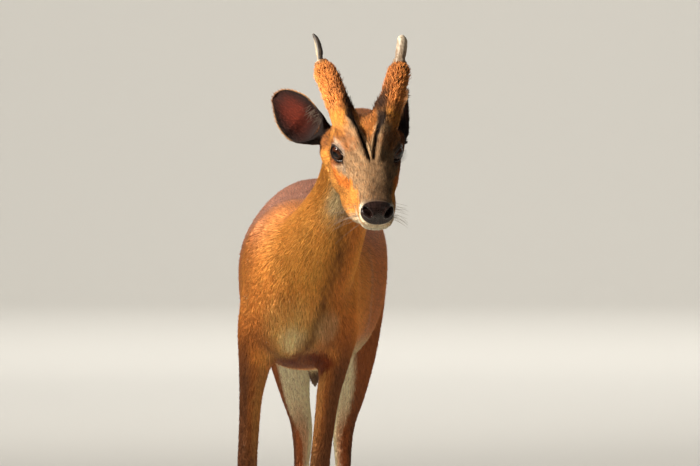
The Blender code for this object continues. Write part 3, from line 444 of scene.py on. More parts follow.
# Share of the length, half width, half the angle of its roll, wall, how far the cup is hollowed, lean back, sway up
EAR_STATIONS = (
    (0.00, 0.0140, 150, 0.0040, 0.00, 0.0000, 0.0000),
    (0.07, 0.0169, 132, 0.0036, 0.20, -0.0030, -0.0014),
    (0.15, 0.0206, 108, 0.0032, 0.75, -0.0075, -0.0020),
    (0.26, 0.0250, 86, 0.0028, 1.00, -0.0120, -0.0032),
    (0.40, 0.0281, 68, 0.0025, 1.00, -0.0130, -0.0026),
    (0.56, 0.0278, 55, 0.0023, 1.00, -0.0125, -0.0001),
    (0.70, 0.0241, 48, 0.0021, 1.00, -0.0115, 0.0020),
    (0.83, 0.0184, 42, 0.0020, 1.00, -0.0100, 0.0045),
    (0.93, 0.0122, 38, 0.0019, 1.00, -0.0085, 0.0058),
    (0.98, 0.0076, 36, 0.0018, 1.00, -0.0076, 0.0048),
    (1.00, 0.0042, 34, 0.0017, 1.00, -0.0072, 0.0042),
)
EAR_ACROSS = 12


def ear_frame(side):
    """The matrix from an ear's own frame to the animal's: its axis is +Z and its cup opens to -Y."""
    root, _, axis, facing = EARS[side]
    axis = axis.normalized()
    facing = (facing - axis * facing.dot(axis)).normalized()
    across = facing.cross(axis)
    turned = Matrix((across, -facing, axis)).transposed().to_4x4()
    return Matrix.Translation(head_place() @ root) @ turned


def ear_boss(bm, side):
    """The root of an ear, sunk in the head and standing out past the ear's cut."""
    frame = ear_frame(side)
    stalk = EARS[side][1]
    rows = [(0.0, 0.0, -0.026, 0.0150), (0.0, 0.0, -0.004, 0.0165), (0.0, 0.0, stalk - 0.004, 0.0142), (0.0, 0.0, stalk + 0.002, 0.0120)]
    tube(bm, rows, place=frame, sides=20)


def foot_place(leg):
    """Where the middle of a foot stands at the coronet, x and y."""
    stations = FORELEG_STATIONS if leg.fore else HINDLEG_STATIONS
    return sideways(leg, CORONET), stations[-1][1] + step_forward(leg, CORONET) - 0.001


# The tail hangs behind the rump: x, y, z, half width, reach to the back, reach to the front
TAIL_STATIONS = (
    (0.318, 0.497, 0.0140, 0.0100, 0.0100, -20),
    (0.338, 0.490, 0.0140, 0.0095, 0.0095, -28),
    (0.356, 0.474, 0.0135, 0.0080, 0.0080, -58),
    (0.364, 0.450, 0.0135, 0.0070, 0.0070, -80),
    (0.366, 0.420, 0.0135, 0.0062, 0.0062, -88),
    (0.365, 0.390, 0.0115, 0.0052, 0.0052, -92),
    (0.363, 0.365, 0.0075, 0.0040, 0.0040, -94),
    (0.362, 0.355, 0.0030, 0.0020, 0.0020, -94),
)
def tail_mass(bm, last=None, sides=16):
    rings = []
    for y, z, half, back, front, slope in TAIL_STATIONS[:last]:
        rings.append(ring(0.0, y, z, half, back, front, slope=slope, turn=180))
    loft(bm, rings, sides=sides, steps=2)




# Antlers: distance from the base, sway outwards, radius
ANTLER_RIGHT = (
    (0.0, 0.0, 0.0088),
    (0.0022, 0.0, 0.0090),
    (0.0042, 0.0, 0.0062),
    (0.016, -0.0024, 0.0050),
    (0.029, -0.0040, 0.0040),
    (0.0375, -0.0034, 0.0027),
    (0.0415, -0.0020, 0.0011),
)
ANTLER_LEFT = (
    (0.0, -0.0028, 0.0088),
    (0.0022, -0.0030, 0.0090),
    (0.0044, -0.0034, 0.0078),
    (0.015, -0.0044, 0.0074),
    (0.028, -0.0058, 0.0074),
    (0.0345, -0.0070, 0.0062),
    (0.0382, -0.0076, 0.0028),
)


# Turning numbers of a picture's colours into light, and blending
def rgb(r, g, b):
    c = np.array((r, g, b), float) / 255
    return np.where(c <= 0.04045, c / 12.92, ((c + 0.055) / 1.055) ** 2.4)


def step(x, low, high):
    t = np.clip((x - low) / (high - low), 0, 1)
    return t * t * (3 - 2 * t)


def mix(a, b, share):
    return a + (b - a) * np.asarray(share)[..., None]


def unit(v):
    return v / np.maximum(np.linalg.norm(v, axis=-1, keepdims=True), 1e-12)


WAVES = np.random.default_rng(3).normal(size=(24, 3))


def wave(points, size, first=0):
    """A soft random number from -1 to 1 that changes over about the given size."""
    total = np.zeros(len(points))
    for k in range(6):
        way = WAVES[(first + k) % 24]
        total += np.sin(points @ way * (2.2 / size) * (1 + 0.23 * k) + 1.7 * k + first)
    return np.clip(total / 3.2, -1, 1)


def to_segment(points, a, b):
    """Distance from points to a straight piece, and the share of its length where each is nearest."""
    a, b = np.asarray(a, float), np.asarray(b, float)
    d = b - a
    t = np.clip((points - a) @ d / (d @ d), 0, 1)
    return np.linalg.norm(points - a - t[:, None] * d, axis=1), t


PLACE = np.array(head_place())
AXES = PLACE[:3, :3]
EYE_POINT = np.array(EYE_MIDDLE)


def in_head(points):
    return (points - EYE_POINT) @ AXES


def leg_axis(leg):
    """The middle of a leg as (x, y, z) rows from top to floor."""
    rows = []
    for z, y, _, front, back in FORELEG_STATIONS if leg.fore else HINDLEG_STATIONS:
        rows.append((sideways(leg, z), y + step_forward(leg, z) + (back - front) / 2, z))
    rows.append((rows[-1][0], rows[-1][1] - 0.004, 0.0))
    return np.array(rows)


LEG_AXES = [leg_axis(leg) for leg in LEGS]
NECK_AXIS = np.array([(r.x, r.y, r.z) for r in NECK_RINGS])
TAIL_AXIS = np.array([(0.0, r[0], r[1]) for r in TAIL_STATIONS])
PEDICLES = []
for side in (-1, 1):
    root, tip = np.array(PEDICLE_ROOT), np.array(PEDICLE_TIP)
    root[0] *= side
    tip[0] *= side
    PEDICLES.append((root, tip))
EAR_FRAMES = {side: np.array(ear_frame(side)) for side in (-1, 1)}


def in_ear(points, side):
    f = EAR_FRAMES[side]
    return (points - f[:3, 3]) @ f[:3, :3]


TRUNK, NECK, HEAD, LEG0, EAR0, PEDICLE0, TAIL = 0, 1, 2, 3, 7, 9, 11


def region_of(points, ears):
    """Which part of the animal each point is on. ears holds -1 and 1 for points of the two ears, and 0 elsewhere."""
    region = np.full(len(points), TRUNK)
    h = in_head(points)
    neck_far, _ = to_segment(points, NECK_AXIS[-1], NECK_AXIS[2])
    along = (points - NECK_AXIS[2]) @ unit(NECK_AXIS[-1] - NECK_AXIS[2])
    region[(along > -0.02) & (neck_far < 0.11) & (points[:, 1] < -0.20)] = NECK
    top = np.array(axes(40, 12)[0])
    region[(points - np.array((0.078, -0.350, 0.580))) @ top > 0] = HEAD
    for k, leg in enumerate(LEGS):
        lean = points[:, 2] - (0.305 if leg.fore else 0.330) + (0.75 if leg.fore else 1.6) * -(
            points[:, 0] * leg.side - (0.030 if leg.fore else 0.016)
        )
        behind = points[:, 1] < -0.10 if leg.fore else points[:, 1] > 0.10
        low = points[:, 2] < (0.325 if leg.fore else 0.400)
        region[behind & low & (lean < 0) & (points[:, 0] * leg.side > -0.012) & (region == TRUNK)] = LEG0 + k
    region[(points[:, 1] > 0.348) & (points[:, 2] > 0.33)] = TAIL
    for k, (root, tip) in enumerate(PEDICLES):
        far, share = to_segment(h, root, tip)
        region[(share > 0.24) & (far < 0.024) & (h[:, 2] > 0.018)] = PEDICLE0 + k
    region[ears == -1] = EAR0
    region[ears == 1] = EAR0 + 1
    return region


# The lie of the coat
def lie_of(points, normals, region):
    """The way the hair points, in the surface, at each point."""
    ways = np.zeros_like(points)

    def add(a, b, way, radius, power=2.0):
        far, _ = to_segment(points, a, b)
        ways[:] += unit(np.asarray(way, float)) * (1 / ((far / radius) ** (2 * power) + 0.02))[:, None]

    down_side = -0.55 * step(np.abs(normals[:, 0]), 0.2, 0.9) * step(points[:, 2], 0.30, 0.40)
    trunk_far, _ = to_segment(points, (0, -0.12, 0.42), (0, 0.27, 0.45))
    along = np.stack([np.zeros(len(points)), np.ones(len(points)), down_side - 0.05], 1)
    ways += unit(along) * (1 / ((trunk_far / 0.09) ** 4 + 0.02))[:, None]
    for a, b in zip(NECK_AXIS[::-1], NECK_AXIS[::-1][1:]):
        add(a, b, b - a + np.array((0, 0, -0.018)), 0.045)
    add((0.010, -0.262, 0.44), (0.0, -0.272, 0.34), (0, 0.12, -1), 0.040)
    for side in (-1, 1):
        add((side * 0.055, -0.20, 0.42), (side * 0.060, -0.20, 0.33), (side * 0.05, 0.25, -1), 0.034)
        add((side * 0.055, 0.21, 0.42), (side * 0.055, 0.21, 0.32), (0, 0.15, -1), 0.042)
    add((0, 0.31, 0.49), (0, 0.345, 0.46), (0, 0.5, -1), 0.045)
    for leg, rows in zip(LEGS, LEG_AXES):
        for a, b in zip(rows[2:], rows[3:]):
            add(a, b, b - a, 0.026)
    for a, b in zip(TAIL_AXIS[1:], TAIL_AXIS[2:]):
        far, _ = to_segment(points, a, b)
        near = (region == TAIL) * 1.0
        ways += unit(b - a) * (near * 40 / ((far / 0.02) ** 2 + 0.2))[:, None]
    head = (region == HEAD) | (region >= PEDICLE0) & (region < TAIL)
    h = in_head(points)
    back = np.zeros_like(points)
    back[:, 1] = 1.0
    # hair parts round the eyes and runs down over the cheeks
    back[:, 2] = -0.55 * step(-h[:, 2], 0.0, 0.03) * step(-h[:, 1], -0.06, 0.02)
    back[:, 0] = 0.35 * np.sign(h[:, 0]) * step(np.abs(h[:, 0]), 0.006, 0.02) * step(h[:, 2], 0.0, 0.016)
    for side in (-1, 1):
        gap = h - np.array((side * EYE_OUT, 0, EYE_UP))
        near = np.exp(-((np.linalg.norm(gap, axis=1) / 0.024) ** 2))
        back += unit(gap) * (near * 0.6)[:, None]
    head_way = unit(back) @ AXES.T
    ways[head] = head_way[head]
    for k, (root, tip) in enumerate(PEDICLES):
        far, share = to_segment(h, root, tip)
        held = step(share, 0.02, 0.22) * step(-far, -0.032, -0.022) * step(h[:, 2], 0.016, 0.026)
        up = unit(tip - root) @ AXES.T
        ways = np.where(head[:, None], mix(ways, up, held * 0.92), ways)
    for k, side in enumerate((-1, 1)):
        f = EAR_FRAMES[side]
        q = in_ear(points, side)
        near = step(-np.hypot(q[:, 0], q[:, 1]), -0.026, -0.017) * step(q[:, 2], -0.018, 0.0) * head
        ways = mix(ways, f[:3, 2], near * 0.9)
        way = f[:3, 2] + f[:3, 0] * (q[:, 0] * 12)[:, None] + np.zeros_like(points)
        ways = np.where((region == EAR0 + k)[:, None], way, ways)
    ways = unit(ways)
    bend = 0.14 * wave(points, 0.050) + 0.08 * wave(points, 0.013, 5)
    ways += np.cross(normals, ways) * bend[:, None]
    ways -= normals * (ways * normals).sum(1)[:, None]
    return unit(ways)


# Colours, by place on the animal
# BACK_AND_SHEEN is the back's own red-brown with a painted lilac sheen, a painted reflection, mixed in
BACK_AND_SHEEN, FLANK, SHOULDER = rgb(214, 144, 114), rgb(204, 122, 66), rgb(236, 146, 68)
GOLD, NAPE, THROAT, BUFF = rgb(230, 148, 64), rgb(180, 102, 48), rgb(222, 190, 138), rgb(226, 184, 112)
BELLY, ARMPIT, WHITE = rgb(206, 178, 130), rgb(112, 52, 26), rgb(240, 218, 178)
LEG_DARK, LEG_BROWN, LEG_ORANGE = rgb(98, 62, 42), rgb(134, 84, 50), rgb(180, 106, 50)
TAUPE, TAUPE_DARK, BLACK = rgb(176, 140, 102), rgb(112, 84, 62), rgb(30, 21, 17)
OLIVE, UMBER = rgb(164, 122, 78), rgb(50, 35, 27)
CHEEK, CHEEK_DARK, FOREHEAD = rgb(222, 146, 66), rgb(206, 112, 40), rgb(228, 142, 70)
PEDICLE_COAT, PEDICLE_DARK = rgb(210, 132, 66), rgb(46, 32, 25)
# EAR_IN_AND_SHADE and EAR_RIM_AND_SHADE: the ear cup's own dark maroon and its dark rim, both darkened further as
# painted shade
EAR_OUT, EAR_IN_AND_SHADE, EAR_RIM_AND_SHADE = rgb(140, 92, 54), rgb(46, 17, 9), rgb(25, 13, 9)
LIP = rgb(238, 226, 198)
# Where the painted shade's edge runs down the front of the neck and chest: heights, and places to the animal's left
SHADE_EDGE_Z = (0.34, 0.3485, 0.381, 0.4175, 0.472, 0.54, 0.60)
SHADE_EDGE_X = (0.0140, 0.0170, 0.0285, 0.0420, 0.0600, 0.0750, 0.0880)
# The dark lines of the forehead run down to meet before the eyes: how far ahead, and how far from the middle
LINE_Y = (-0.0420, -0.0249, -0.0068, 0.0161, 0.0300)
LINE_X = (0.0004, 0.0026, 0.0064, 0.0124, 0.0178)


def line_place(h):
    """How far outside the edge of the nearer dark line a point is, how far down the line, and 1 where there is one."""
    off = (np.abs(h[:, 0]) - np.interp(h[:, 1], LINE_Y, LINE_X)) * 0.94
    down = np.clip((LINE_Y[-1] - h[:, 1]) / (LINE_Y[-1] - LINE_Y[0]), 0, 1)
    on = step(h[:, 1], -0.0455, -0.0415) * step(-h[:, 1], -0.030, -0.020) * step(h[:, 2], 0.010, 0.015)
    return off, down, on


def pad_depth(h):
    """How deep inside the bare nose a point lies: above 0 inside, in metres."""
    q = (h - np.array((0.0, -0.1235, 0.0030))) / np.array((0.0234, 0.0128, 0.0148))
    q[:, 0] /= 1 - 0.30 * np.clip(-q[:, 2], 0, 1) - 0.12 * np.clip(q[:, 2], 0, 1) ** 2
    r = (np.abs(q[:, 0]) ** 2.4 + np.abs(q[:, 1]) ** 2.4 + np.abs(q[:, 2]) ** 2.4) ** (1 / 2.4)
    return (1 - r) * 0.0142


NOSTRIL = (
    (0.0100, -0.1285, 0.0046, 0.0034),
    (0.0128, -0.1265, 0.0068, 0.0040),
    (0.0168, -0.1235, 0.0092, 0.0030),
    (0.0200, -0.1185, 0.0106, 0.0014),
)


def nostril_depth(h):
    """1 in the middle of a nostril, 0 at its edge and outside."""
    best = np.full(len(h), -1.0)
    q = np.stack([np.abs(h[:, 0]), h[:, 1], h[:, 2]], 1)
    for a, b in zip(NOSTRIL, NOSTRIL[1:]):
        far, t = to_segment(q, a[:3], b[:3])
        best = np.maximum(best, 1 - far / (a[3] + (b[3] - a[3]) * t))
    return best


def lid_place(h, side):
    """Where a point of the head lies round an eye: 1 at the opening's edge, and its height, from -1 below to 1 above."""
    outward, forward, upright = (np.array(v) for v in eye_axes(side))
    gap = h - np.array((side * EYE_OUT, 0, EYE_UP))
    far = np.linalg.norm(gap, axis=1)
    u = gap / far[:, None]
    turn = np.arccos(np.clip(u @ outward, -1, 1))
    a, b = u @ forward, u @ upright
    size = np.maximum(np.hypot(a, b), 1e-9)
    across = turn * a / size
    rise = turn * b / size + 0.14 * across
    wide = across / math.radians(LID_WIDE)
    tall = rise / (math.radians(LID_TALL) * (1 - 0.22 * np.abs(np.clip(wide, -1, 1)) ** 3))
    return np.hypot(wide, tall), tall / np.maximum(np.hypot(wide, tall), 1e-9), far, wide


def mouth_distance(h):
    """How far a point is from the line of the mouth, and 1 along the line, fading to 0 past its corner."""
    level = MOUTH_LEVEL + 0.0015 - 0.05 * (h[:, 1] + 0.100) + 0.9 * np.maximum(h[:, 1] + 0.074, 0) ** 1.5
    along = step(-h[:, 1], 0.056, 0.064)
    return h[:, 2] - level, along


def gland_distance(h):
    q = np.stack([np.abs(h[:, 0]), h[:, 1], h[:, 2]], 1)
    return to_segment(q, (0.0330, -0.030, 0.0045), (0.0285, -0.044, 0.0020))


def coat_colour(p, n, region, inner):
    """The coat's colour at each point, from its place, the way it faces and its part. inner is 1 in an ear's cup."""
    side = np.sign(p[:, 0])
    count = len(p)
    # trunk
    # the top of the back, most where it faces up, takes its red-brown with the painted lilac sheen
    high = step(p[:, 2] + 0.05 * n[:, 2], 0.44, 0.535)
    c = mix(np.tile(FLANK, (count, 1)), BACK_AND_SHEEN, high)
    c = mix(c, SHOULDER, step(-p[:, 1], 0.02, 0.16) * (1 - 0.7 * high))
    under = step(-n[:, 2], 0.25, 0.75) * step(-p[:, 2], -0.37, -0.33) * step(p[:, 1], -0.14, -0.06)
    c = mix(c, BELLY, under)
    rump = step(p[:, 1], 0.26, 0.33)
    c = mix(c, rgb(170, 96, 52), rump * 0.7)
    # neck and chest
    neck_along = (p - NECK_AXIS[1]) @ unit(NECK_AXIS[-1] - NECK_AXIS[1]) / np.linalg.norm(NECK_AXIS[-1] - NECK_AXIS[1])
    on_neck = step(neck_along, -0.05, 0.30) * step(-p[:, 1], 0.12, 0.20)
    c = mix(c, GOLD, on_neck * (1 - 0.55 * step(n[:, 1] + n[:, 2] * 0.6, 0.2, 0.9)))
    c = mix(c, NAPE, on_neck * step(n[:, 1] * 0.8 + n[:, 2], 0.25, 1.0) * 0.8)
    front = step(-n[:, 1], 0.35, 0.85)
    streak = 0.5 + 0.5 * wave(p * np.array((1, 1, 0.3)), 0.012, 9)
    c = mix(c, rgb(206, 156, 76), on_neck * front * (0.20 + 0.5 * streak) * 0.7)
    middle = np.interp(p[:, 2], [0.30, 0.42, 0.60], [0.0, 0.010, 0.092])
    off = np.abs(p[:, 0] - middle)
    c = mix(c, THROAT, step(neck_along, 0.48, 0.86) * front * step(-off, -0.028, -0.006) * (0.65 + 0.25 * streak))
    for s in (-1, 1):
        far, _ = to_segment(p, (0.090 + s * 0.030, -0.362, 0.524), (0.090 + s * 0.018, -0.386, 0.546))
        c = mix(c, rgb(226, 202, 156), step(-far, -0.022, -0.006) * 0.75)
    chest = step(-p[:, 1], 0.19, 0.235) * step(-p[:, 2], -0.425, -0.365)
    c = mix(c, BUFF, chest * step(-off, -0.062, -0.022) * (0.55 + 0.35 * streak))
    for lobe_at in ((-0.002, -0.276, 0.347), (0.044, -0.272, 0.362)):
        far = np.linalg.norm((p - lobe_at) * (1, 1, 0.7), axis=1)
        c = mix(c, rgb(244, 214, 158), step(-far, -0.026, -0.008) * (0.65 + 0.35 * streak))
    # painted shade: a dark band along the shade's edge from the throat to the breastbone, and the side past it, to the
    # animal's left, darker
    ridge = p[:, 0] - np.interp(p[:, 2], SHADE_EDGE_Z, SHADE_EDGE_X)
    facing = step(-n[:, 1], 0.0, 0.5) * step(-p[:, 1], 0.20, 0.25)
    c = mix(c, rgb(182, 98, 44), facing * step(ridge, 0.0, 0.016) * 0.55)
    c = mix(c, rgb(98, 54, 26), facing * np.exp(-(((ridge - 0.002) / 0.010) ** 2)) * (0.45 + 0.55 * streak) * 0.85)
    # painted shade: dark red-brown patches in the recess under the brisket, between the forelegs
    for left_end, right_end, reach in (
        ((-0.008, -0.222, 0.315), (0.032, -0.222, 0.318), 0.028),
        ((0.003, -0.250, 0.324), (0.032, -0.243, 0.326), 0.015),
    ):
        far, _ = to_segment(p, left_end, right_end)
        c = mix(c, rgb(118, 44, 18), step(-far, -reach, -0.45 * reach) * 0.92)
    for high_end, low_end in (((0.0870, -0.0760, 0.4600), (0.0885, -0.0780, 0.3940)), ((0.0885, -0.0780, 0.3940), (0.0800, -0.0420, 0.3440))):
        far, _ = to_segment(p, high_end, low_end)
        c = mix(c, rgb(206, 160, 122), step(-far, -0.0140, -0.0020) * (0.14 + 0.20 * streak))
    pit = step(-p[:, 2], -0.335, -0.318) * step(-np.abs(p[:, 1] + 0.20), -0.075, -0.040) * step(-np.abs(p[:, 0]), -0.05, -0.02)
    c = mix(c, ARMPIT, pit * 0.9)
    # painted shade: the sheath under the belly is coloured dark brown, as it lies in shadow
    far = np.linalg.norm(p - (0.0, 0.085, 0.285), axis=1)
    c = mix(c, rgb(74, 46, 30), step(-far, -0.036, -0.018) * 0.9)
    # legs
    for k, leg in enumerate(LEGS):
        on = region == LEG0 + k
        rows = LEG_AXES[k]
        mid_x = np.interp(p[:, 2], rows[::-1, 2], rows[::-1, 0])
        mid_y = np.interp(p[:, 2], rows[::-1, 2], rows[::-1, 1])
        out = n[:, 0] * leg.side
        ahead = -n[:, 1]
        if leg.fore:
            upper = mix(np.tile(LEG_BROWN, (count, 1)), LEG_ORANGE, step(-out, -0.5, 0.3) * 0.75)
            upper = mix(upper, rgb(196, 140, 78), step(-out, 0.1, 0.8) * step(ahead, -0.4, 0.3) * 0.6)
            lower = mix(np.tile(LEG_DARK, (count, 1)), LEG_BROWN, step(ahead, 0.3, 0.9) * 0.5)
            lower = mix(lower, rgb(168, 118, 76), step(-out, 0.2, 0.9) * 0.5)
            leg_colour = mix(upper, lower, step(-p[:, 2], -0.26, -0.16))
            share = step(-p[:, 2], -0.365, -0.295)
            near = (p[:, 1] < -0.13) & (p[:, 0] * leg.side > 0)
            weight = np.where(on, np.maximum(share, 0.35), np.where(near, share * step(out, -0.2, 0.4), 0))
            upper_arm = (on | near) * step(out, 0.15, 0.7) * step(-p[:, 2], -0.40, -0.33) * step(-p[:, 1], 0.14, 0.18)
            c = mix(c, rgb(134, 74, 38), upper_arm * 0.75)
            leg_colour = mix(leg_colour, rgb(112, 66, 40), upper_arm * 0.6)
        else:
            outer = mix(np.tile(rgb(150, 84, 44), (count, 1)), LEG_DARK, step(-p[:, 2], -0.30, -0.14))
            white = step(-out + (0.30 if leg.side > 0 else 0.80) * step(p[:, 2], 0.18, 0.23) * step(ahead, 0.0, 0.6), -0.05, 0.35) * step(p[:, 2], 0.10, 0.16)
            white *= 1 - 0.55 * step(n[:, 1], 0.3, 0.9)
            leg_colour = mix(outer, WHITE, white)
            leg_colour = mix(leg_colour, rgb(178, 96, 48), step(ahead, 0.45, 0.9) * step(-p[:, 2], -0.27, -0.20) * 0.6)
            weight = on * step(-p[:, 2], -0.43, -0.33)
            near = (region == TRUNK) & (p[:, 1] > 0.10) & (p[:, 0] * leg.side > 0)
            weight = np.where(near, np.maximum(weight, step(-out, -0.1, 0.5) * step(-p[:, 2], -0.40, -0.33)), weight)
        c = np.where((weight > 0)[:, None], mix(c, leg_colour, weight), c)
        pastern = on * step(-p[:, 2], -0.075, -0.045)
        c = mix(c, rgb(70, 44, 32), pastern * 0.7)
    # tail
    on = region == TAIL
    tail = mix(np.tile(rgb(172, 94, 42), (count, 1)), rgb(238, 230, 214), step(-n[:, 1], -0.25, 0.25))
    c = np.where(on[:, None], tail, c)
    # head
    h = in_head(p)
    head = (region == HEAD) | (region >= PEDICLE0) & (region < TAIL)
    ahead = -h[:, 1]
    ax = np.abs(h[:, 0])
    fuzz = 0.0022 * wave(h, 0.007, 2) + 0.0012 * wave(h, 0.003, 8)
    face = mix(np.tile(TAUPE, (count, 1)), TAUPE_DARK, step(-ax, -0.013, -0.004) * step(ahead, 0.060, 0.105) * 0.55)
    face = mix(face, rgb(150, 118, 86), 0.26 + 0.26 * wave(h, 0.010, 2))
    face = mix(face, rgb(196, 128, 70), np.clip(0.30 * wave(h * (1, 0.5, 1), 0.0030, 12), 0, 1))
    face = mix(face, rgb(96, 72, 54), np.clip(0.55 * wave(h * (1, 0.5, 1), 0.0026, 1), 0, 1))
    edge = np.interp(ahead, [-0.03, 0.0, 0.006, 0.014], [0.0225, 0.0265, 0.0340, 0.0600])
    low = np.interp(ahead, [-0.01, 0.010, 0.033, 0.050, 0.066, 0.086, 0.10, 0.12], [-0.010, -0.0165, -0.0125, -0.005, 0.004, 0.004, 0.002, 0.0])
    cheek = np.maximum(step(ax + fuzz, edge - 0.005, edge + 0.006), step(low - h[:, 2] + 1.3 * fuzz, -0.003, 0.003))
    cheek *= 1 - step(ahead, 0.100, 0.118) * 0.4
    face = mix(face, CHEEK, cheek)
    patch = np.stack([ax, h[:, 1], h[:, 2]], 1)
    for a, b in (((0.0440, -0.004, -0.022), (0.0335, -0.036, -0.0175)), ((0.0335, -0.036, -0.0175), (0.0262, -0.064, -0.003))):
        far, _ = to_segment(patch, a, b)
        face = mix(face, CHEEK_DARK, step(-far + fuzz, -0.0080, -0.003) * cheek * 0.85)
    far, _ = to_segment(patch, (0.0265, -0.012, 0.018), (0.0255, -0.018, 0.016))
    face = mix(face, rgb(206, 120, 48), step(-far, -0.0055, -0.0015) * 0.5)
    far, _ = to_segment(patch, (0.0405, -0.012, -0.010), (0.0310, -0.034, -0.004))
    face = mix(face, rgb(176, 154, 132), step(-far + fuzz, -0.0075, -0.001) * 0.7)
    crown = step(-ahead, 0.030, 0.050)
    face = mix(face, rgb(222, 132, 60), crown * (1 - cheek * 0.4))
    fleck = 0.60 + 0.40 * wave(h * (1, 0.5, 1), 0.0030, 12)
    brow = ((0.0400, 0.012, 0.019), (0.0310, -0.008, 0.023), (0.0225, -0.017, 0.025))
    for a, b in zip(brow, brow[1:]):
        far, _ = to_segment(patch, a, b)
        face = mix(face, rgb(150, 94, 52), step(-far + 0.5 * fuzz, -0.0165, -0.0070) * fleck * 0.85)
    face = mix(face, NAPE, step(-ahead, 0.085, 0.11) * step(h[:, 2], -0.02, 0.01) * 0.4)
    # painted shadow: a dark patch at the base of each ear, running down and back from it
    far, _ = to_segment(patch, (0.0545, 0.078, 0.004), (0.0510, 0.034, -0.014))
    face = mix(face, rgb(92, 50, 26), step(-far, -0.0190, -0.0070) * 0.85)
    jaw = step(-h[:, 2], 0.036, 0.054)
    face = mix(face, rgb(230, 178, 106), jaw * step(ahead, -0.02, 0.05) * 0.7)
    face = mix(face, THROAT, step(-n @ AXES[:, 2], 0.5, 0.9) * step(-h[:, 2], 0.02, 0.04) * 0.7)
    # forehead between and beside the dark lines
    off, down, on = line_place(h)
    inside = step(-off, 0.000, 0.001) * step(-h[:, 1], -0.060, -0.030) * step(h[:, 1], -0.0445, -0.041) * step(h[:, 2], 0.010, 0.015)
    middle_face = mix(np.tile(FOREHEAD, (count, 1)), OLIVE, step(ahead + fuzz, -0.006, 0.024))
    # painted highlight: a pale strip along the lit edge of the fold just inside each dark line
    middle_face = mix(middle_face, rgb(206, 176, 136), step(off, -0.0034, -0.0012) * 0.6)
    thread = step(-np.abs(h[:, 0] - 0.0004), -0.0010, -0.0003) * step(ahead, -0.012, 0.004)
    middle_face = mix(middle_face, rgb(92, 72, 56), thread * 0.6)
    face = mix(face, middle_face, inside)
    width = np.where(h[:, 0] < 0, 0.0064 - 0.0036 * down, 0.0062 - 0.0036 * down) * (1 + 0.22 * wave(h, 0.005, 6))
    band = step(off, 0.001, 0.003) * step(-off + fuzz, -0.0125 + 0.005 * down, -0.004) * on
    face = mix(face, rgb(92, 68, 48), band * np.where(h[:, 0] < 0, 0.85, 0.45))
    face = mix(face, BLACK, step(off, -0.0004, 0.0006) * step(-off, -width - 0.0012, -width + 0.0008) * on)
    for eye_side in (-1, 1):
        rho, rise, distance, wide = lid_place(h, eye_side)
        near = step(-distance, -0.024, -0.019)
        # grey skin below each eye, painted lighter as light below the right eye (side -1) and darker as shade below the
        # left one
        lit_and_shaded_grey = rgb(168, 146, 128) if eye_side < 0 else rgb(120, 98, 82)
        face = mix(face, lit_and_shaded_grey, near * step(-rho, -1.85, -1.40) * step(-rise, 0.20, 0.6) * 0.85)
        face = mix(face, rgb(140, 80, 40), near * step(-rho, -2.40, -1.70) * step(rise, -0.3, 0.1) * 0.95)
        face = mix(face, rgb(84, 58, 42), near * step(-rho, -1.42, -1.20) * step(rise, -0.1, 0.5) * 0.85)
        face = mix(face, rgb(44, 31, 26), near * step(-rho, -1.20, -1.10))
    far, _ = gland_distance(h)
    face = mix(face, rgb(58, 40, 38), step(-far, -0.0020, -0.0006) * 0.85)
    pad = pad_depth(h)
    lip = step(ahead, 0.088, 0.108) * step(-h[:, 2], 0.007, 0.017)
    lip = np.maximum(lip, step(pad, -0.0036, -0.0016) * step(-h[:, 2], -0.013, -0.006) * 0.8)
    lip = np.maximum(lip, step(ahead, 0.078, 0.104) * step(-h[:, 2], 0.022, 0.030) * 0.8)
    face = mix(face, LIP, lip * 0.94)
    face = mix(face, rgb(84, 68, 58), step(pad, -0.0022, -0.0006) * step(h[:, 2], 0.004, 0.010) * 0.7)
    for k, (root, tip) in enumerate(PEDICLES):
        far, share = to_segment(h, root, tip)
        s = (-1, 1)[k]
        inward = -(n @ AXES)[:, 0] * s
        held = step(share, 0.00, 0.16) * step(-far, -0.034, -0.024) * step(h[:, 2], 0.014, 0.024)
        stalk = mix(np.tile(PEDICLE_COAT, (count, 1)), rgb(142, 86, 46), 0.26 + 0.26 * wave(h, 0.006, 4))
        stalk = mix(stalk, rgb(158, 94, 52), step(inward, -0.2, 0.6) * 0.6)
        stalk = mix(stalk, PEDICLE_DARK, step(inward + 30 * fuzz, 0.05, 0.65) * (1 - step(share, 0.25, 0.60)) * 0.92)
        face = mix(face, stalk, held)
        foot = step(inward + 25 * fuzz, 0.02, 0.40) * step(h[:, 2], 0.022, 0.028) * step(-ahead, -0.004, 0.010) * step(ahead, -0.078, -0.052)
        face = mix(face, UMBER, foot * step(h[:, 0] * s, 0.011, 0.015) * (1 - held) * 0.95)
    c = np.where(head[:, None], mix(c, face, step((p - np.array((0.078, -0.350, 0.580))) @ np.array(axes(40, 12)[0]), -0.004, 0.022)), c)
    for k, s in enumerate((-1, 1)):
        on = region == EAR0 + k
        q = in_ear(p, s)
        share = (q[:, 2] - EARS[s][1]) / (EAR_LENGTH - EARS[s][1])
        rows = np.array(EAR_STATIONS)
        rim = np.abs(q[:, 0] - s * np.interp(share, rows[:, 0], rows[:, 6])) / np.interp(share, rows[:, 0], rows[:, 1])
        outer = mix(np.tile(rgb(186, 114, 56), (count, 1)), EAR_OUT, step(q[:, 2], 0.02, 0.05))
        outer = mix(outer, rgb(186, 142, 98), step(rim, 0.95, 0.99) * step(share, 0.12, 0.2) * 0.8)
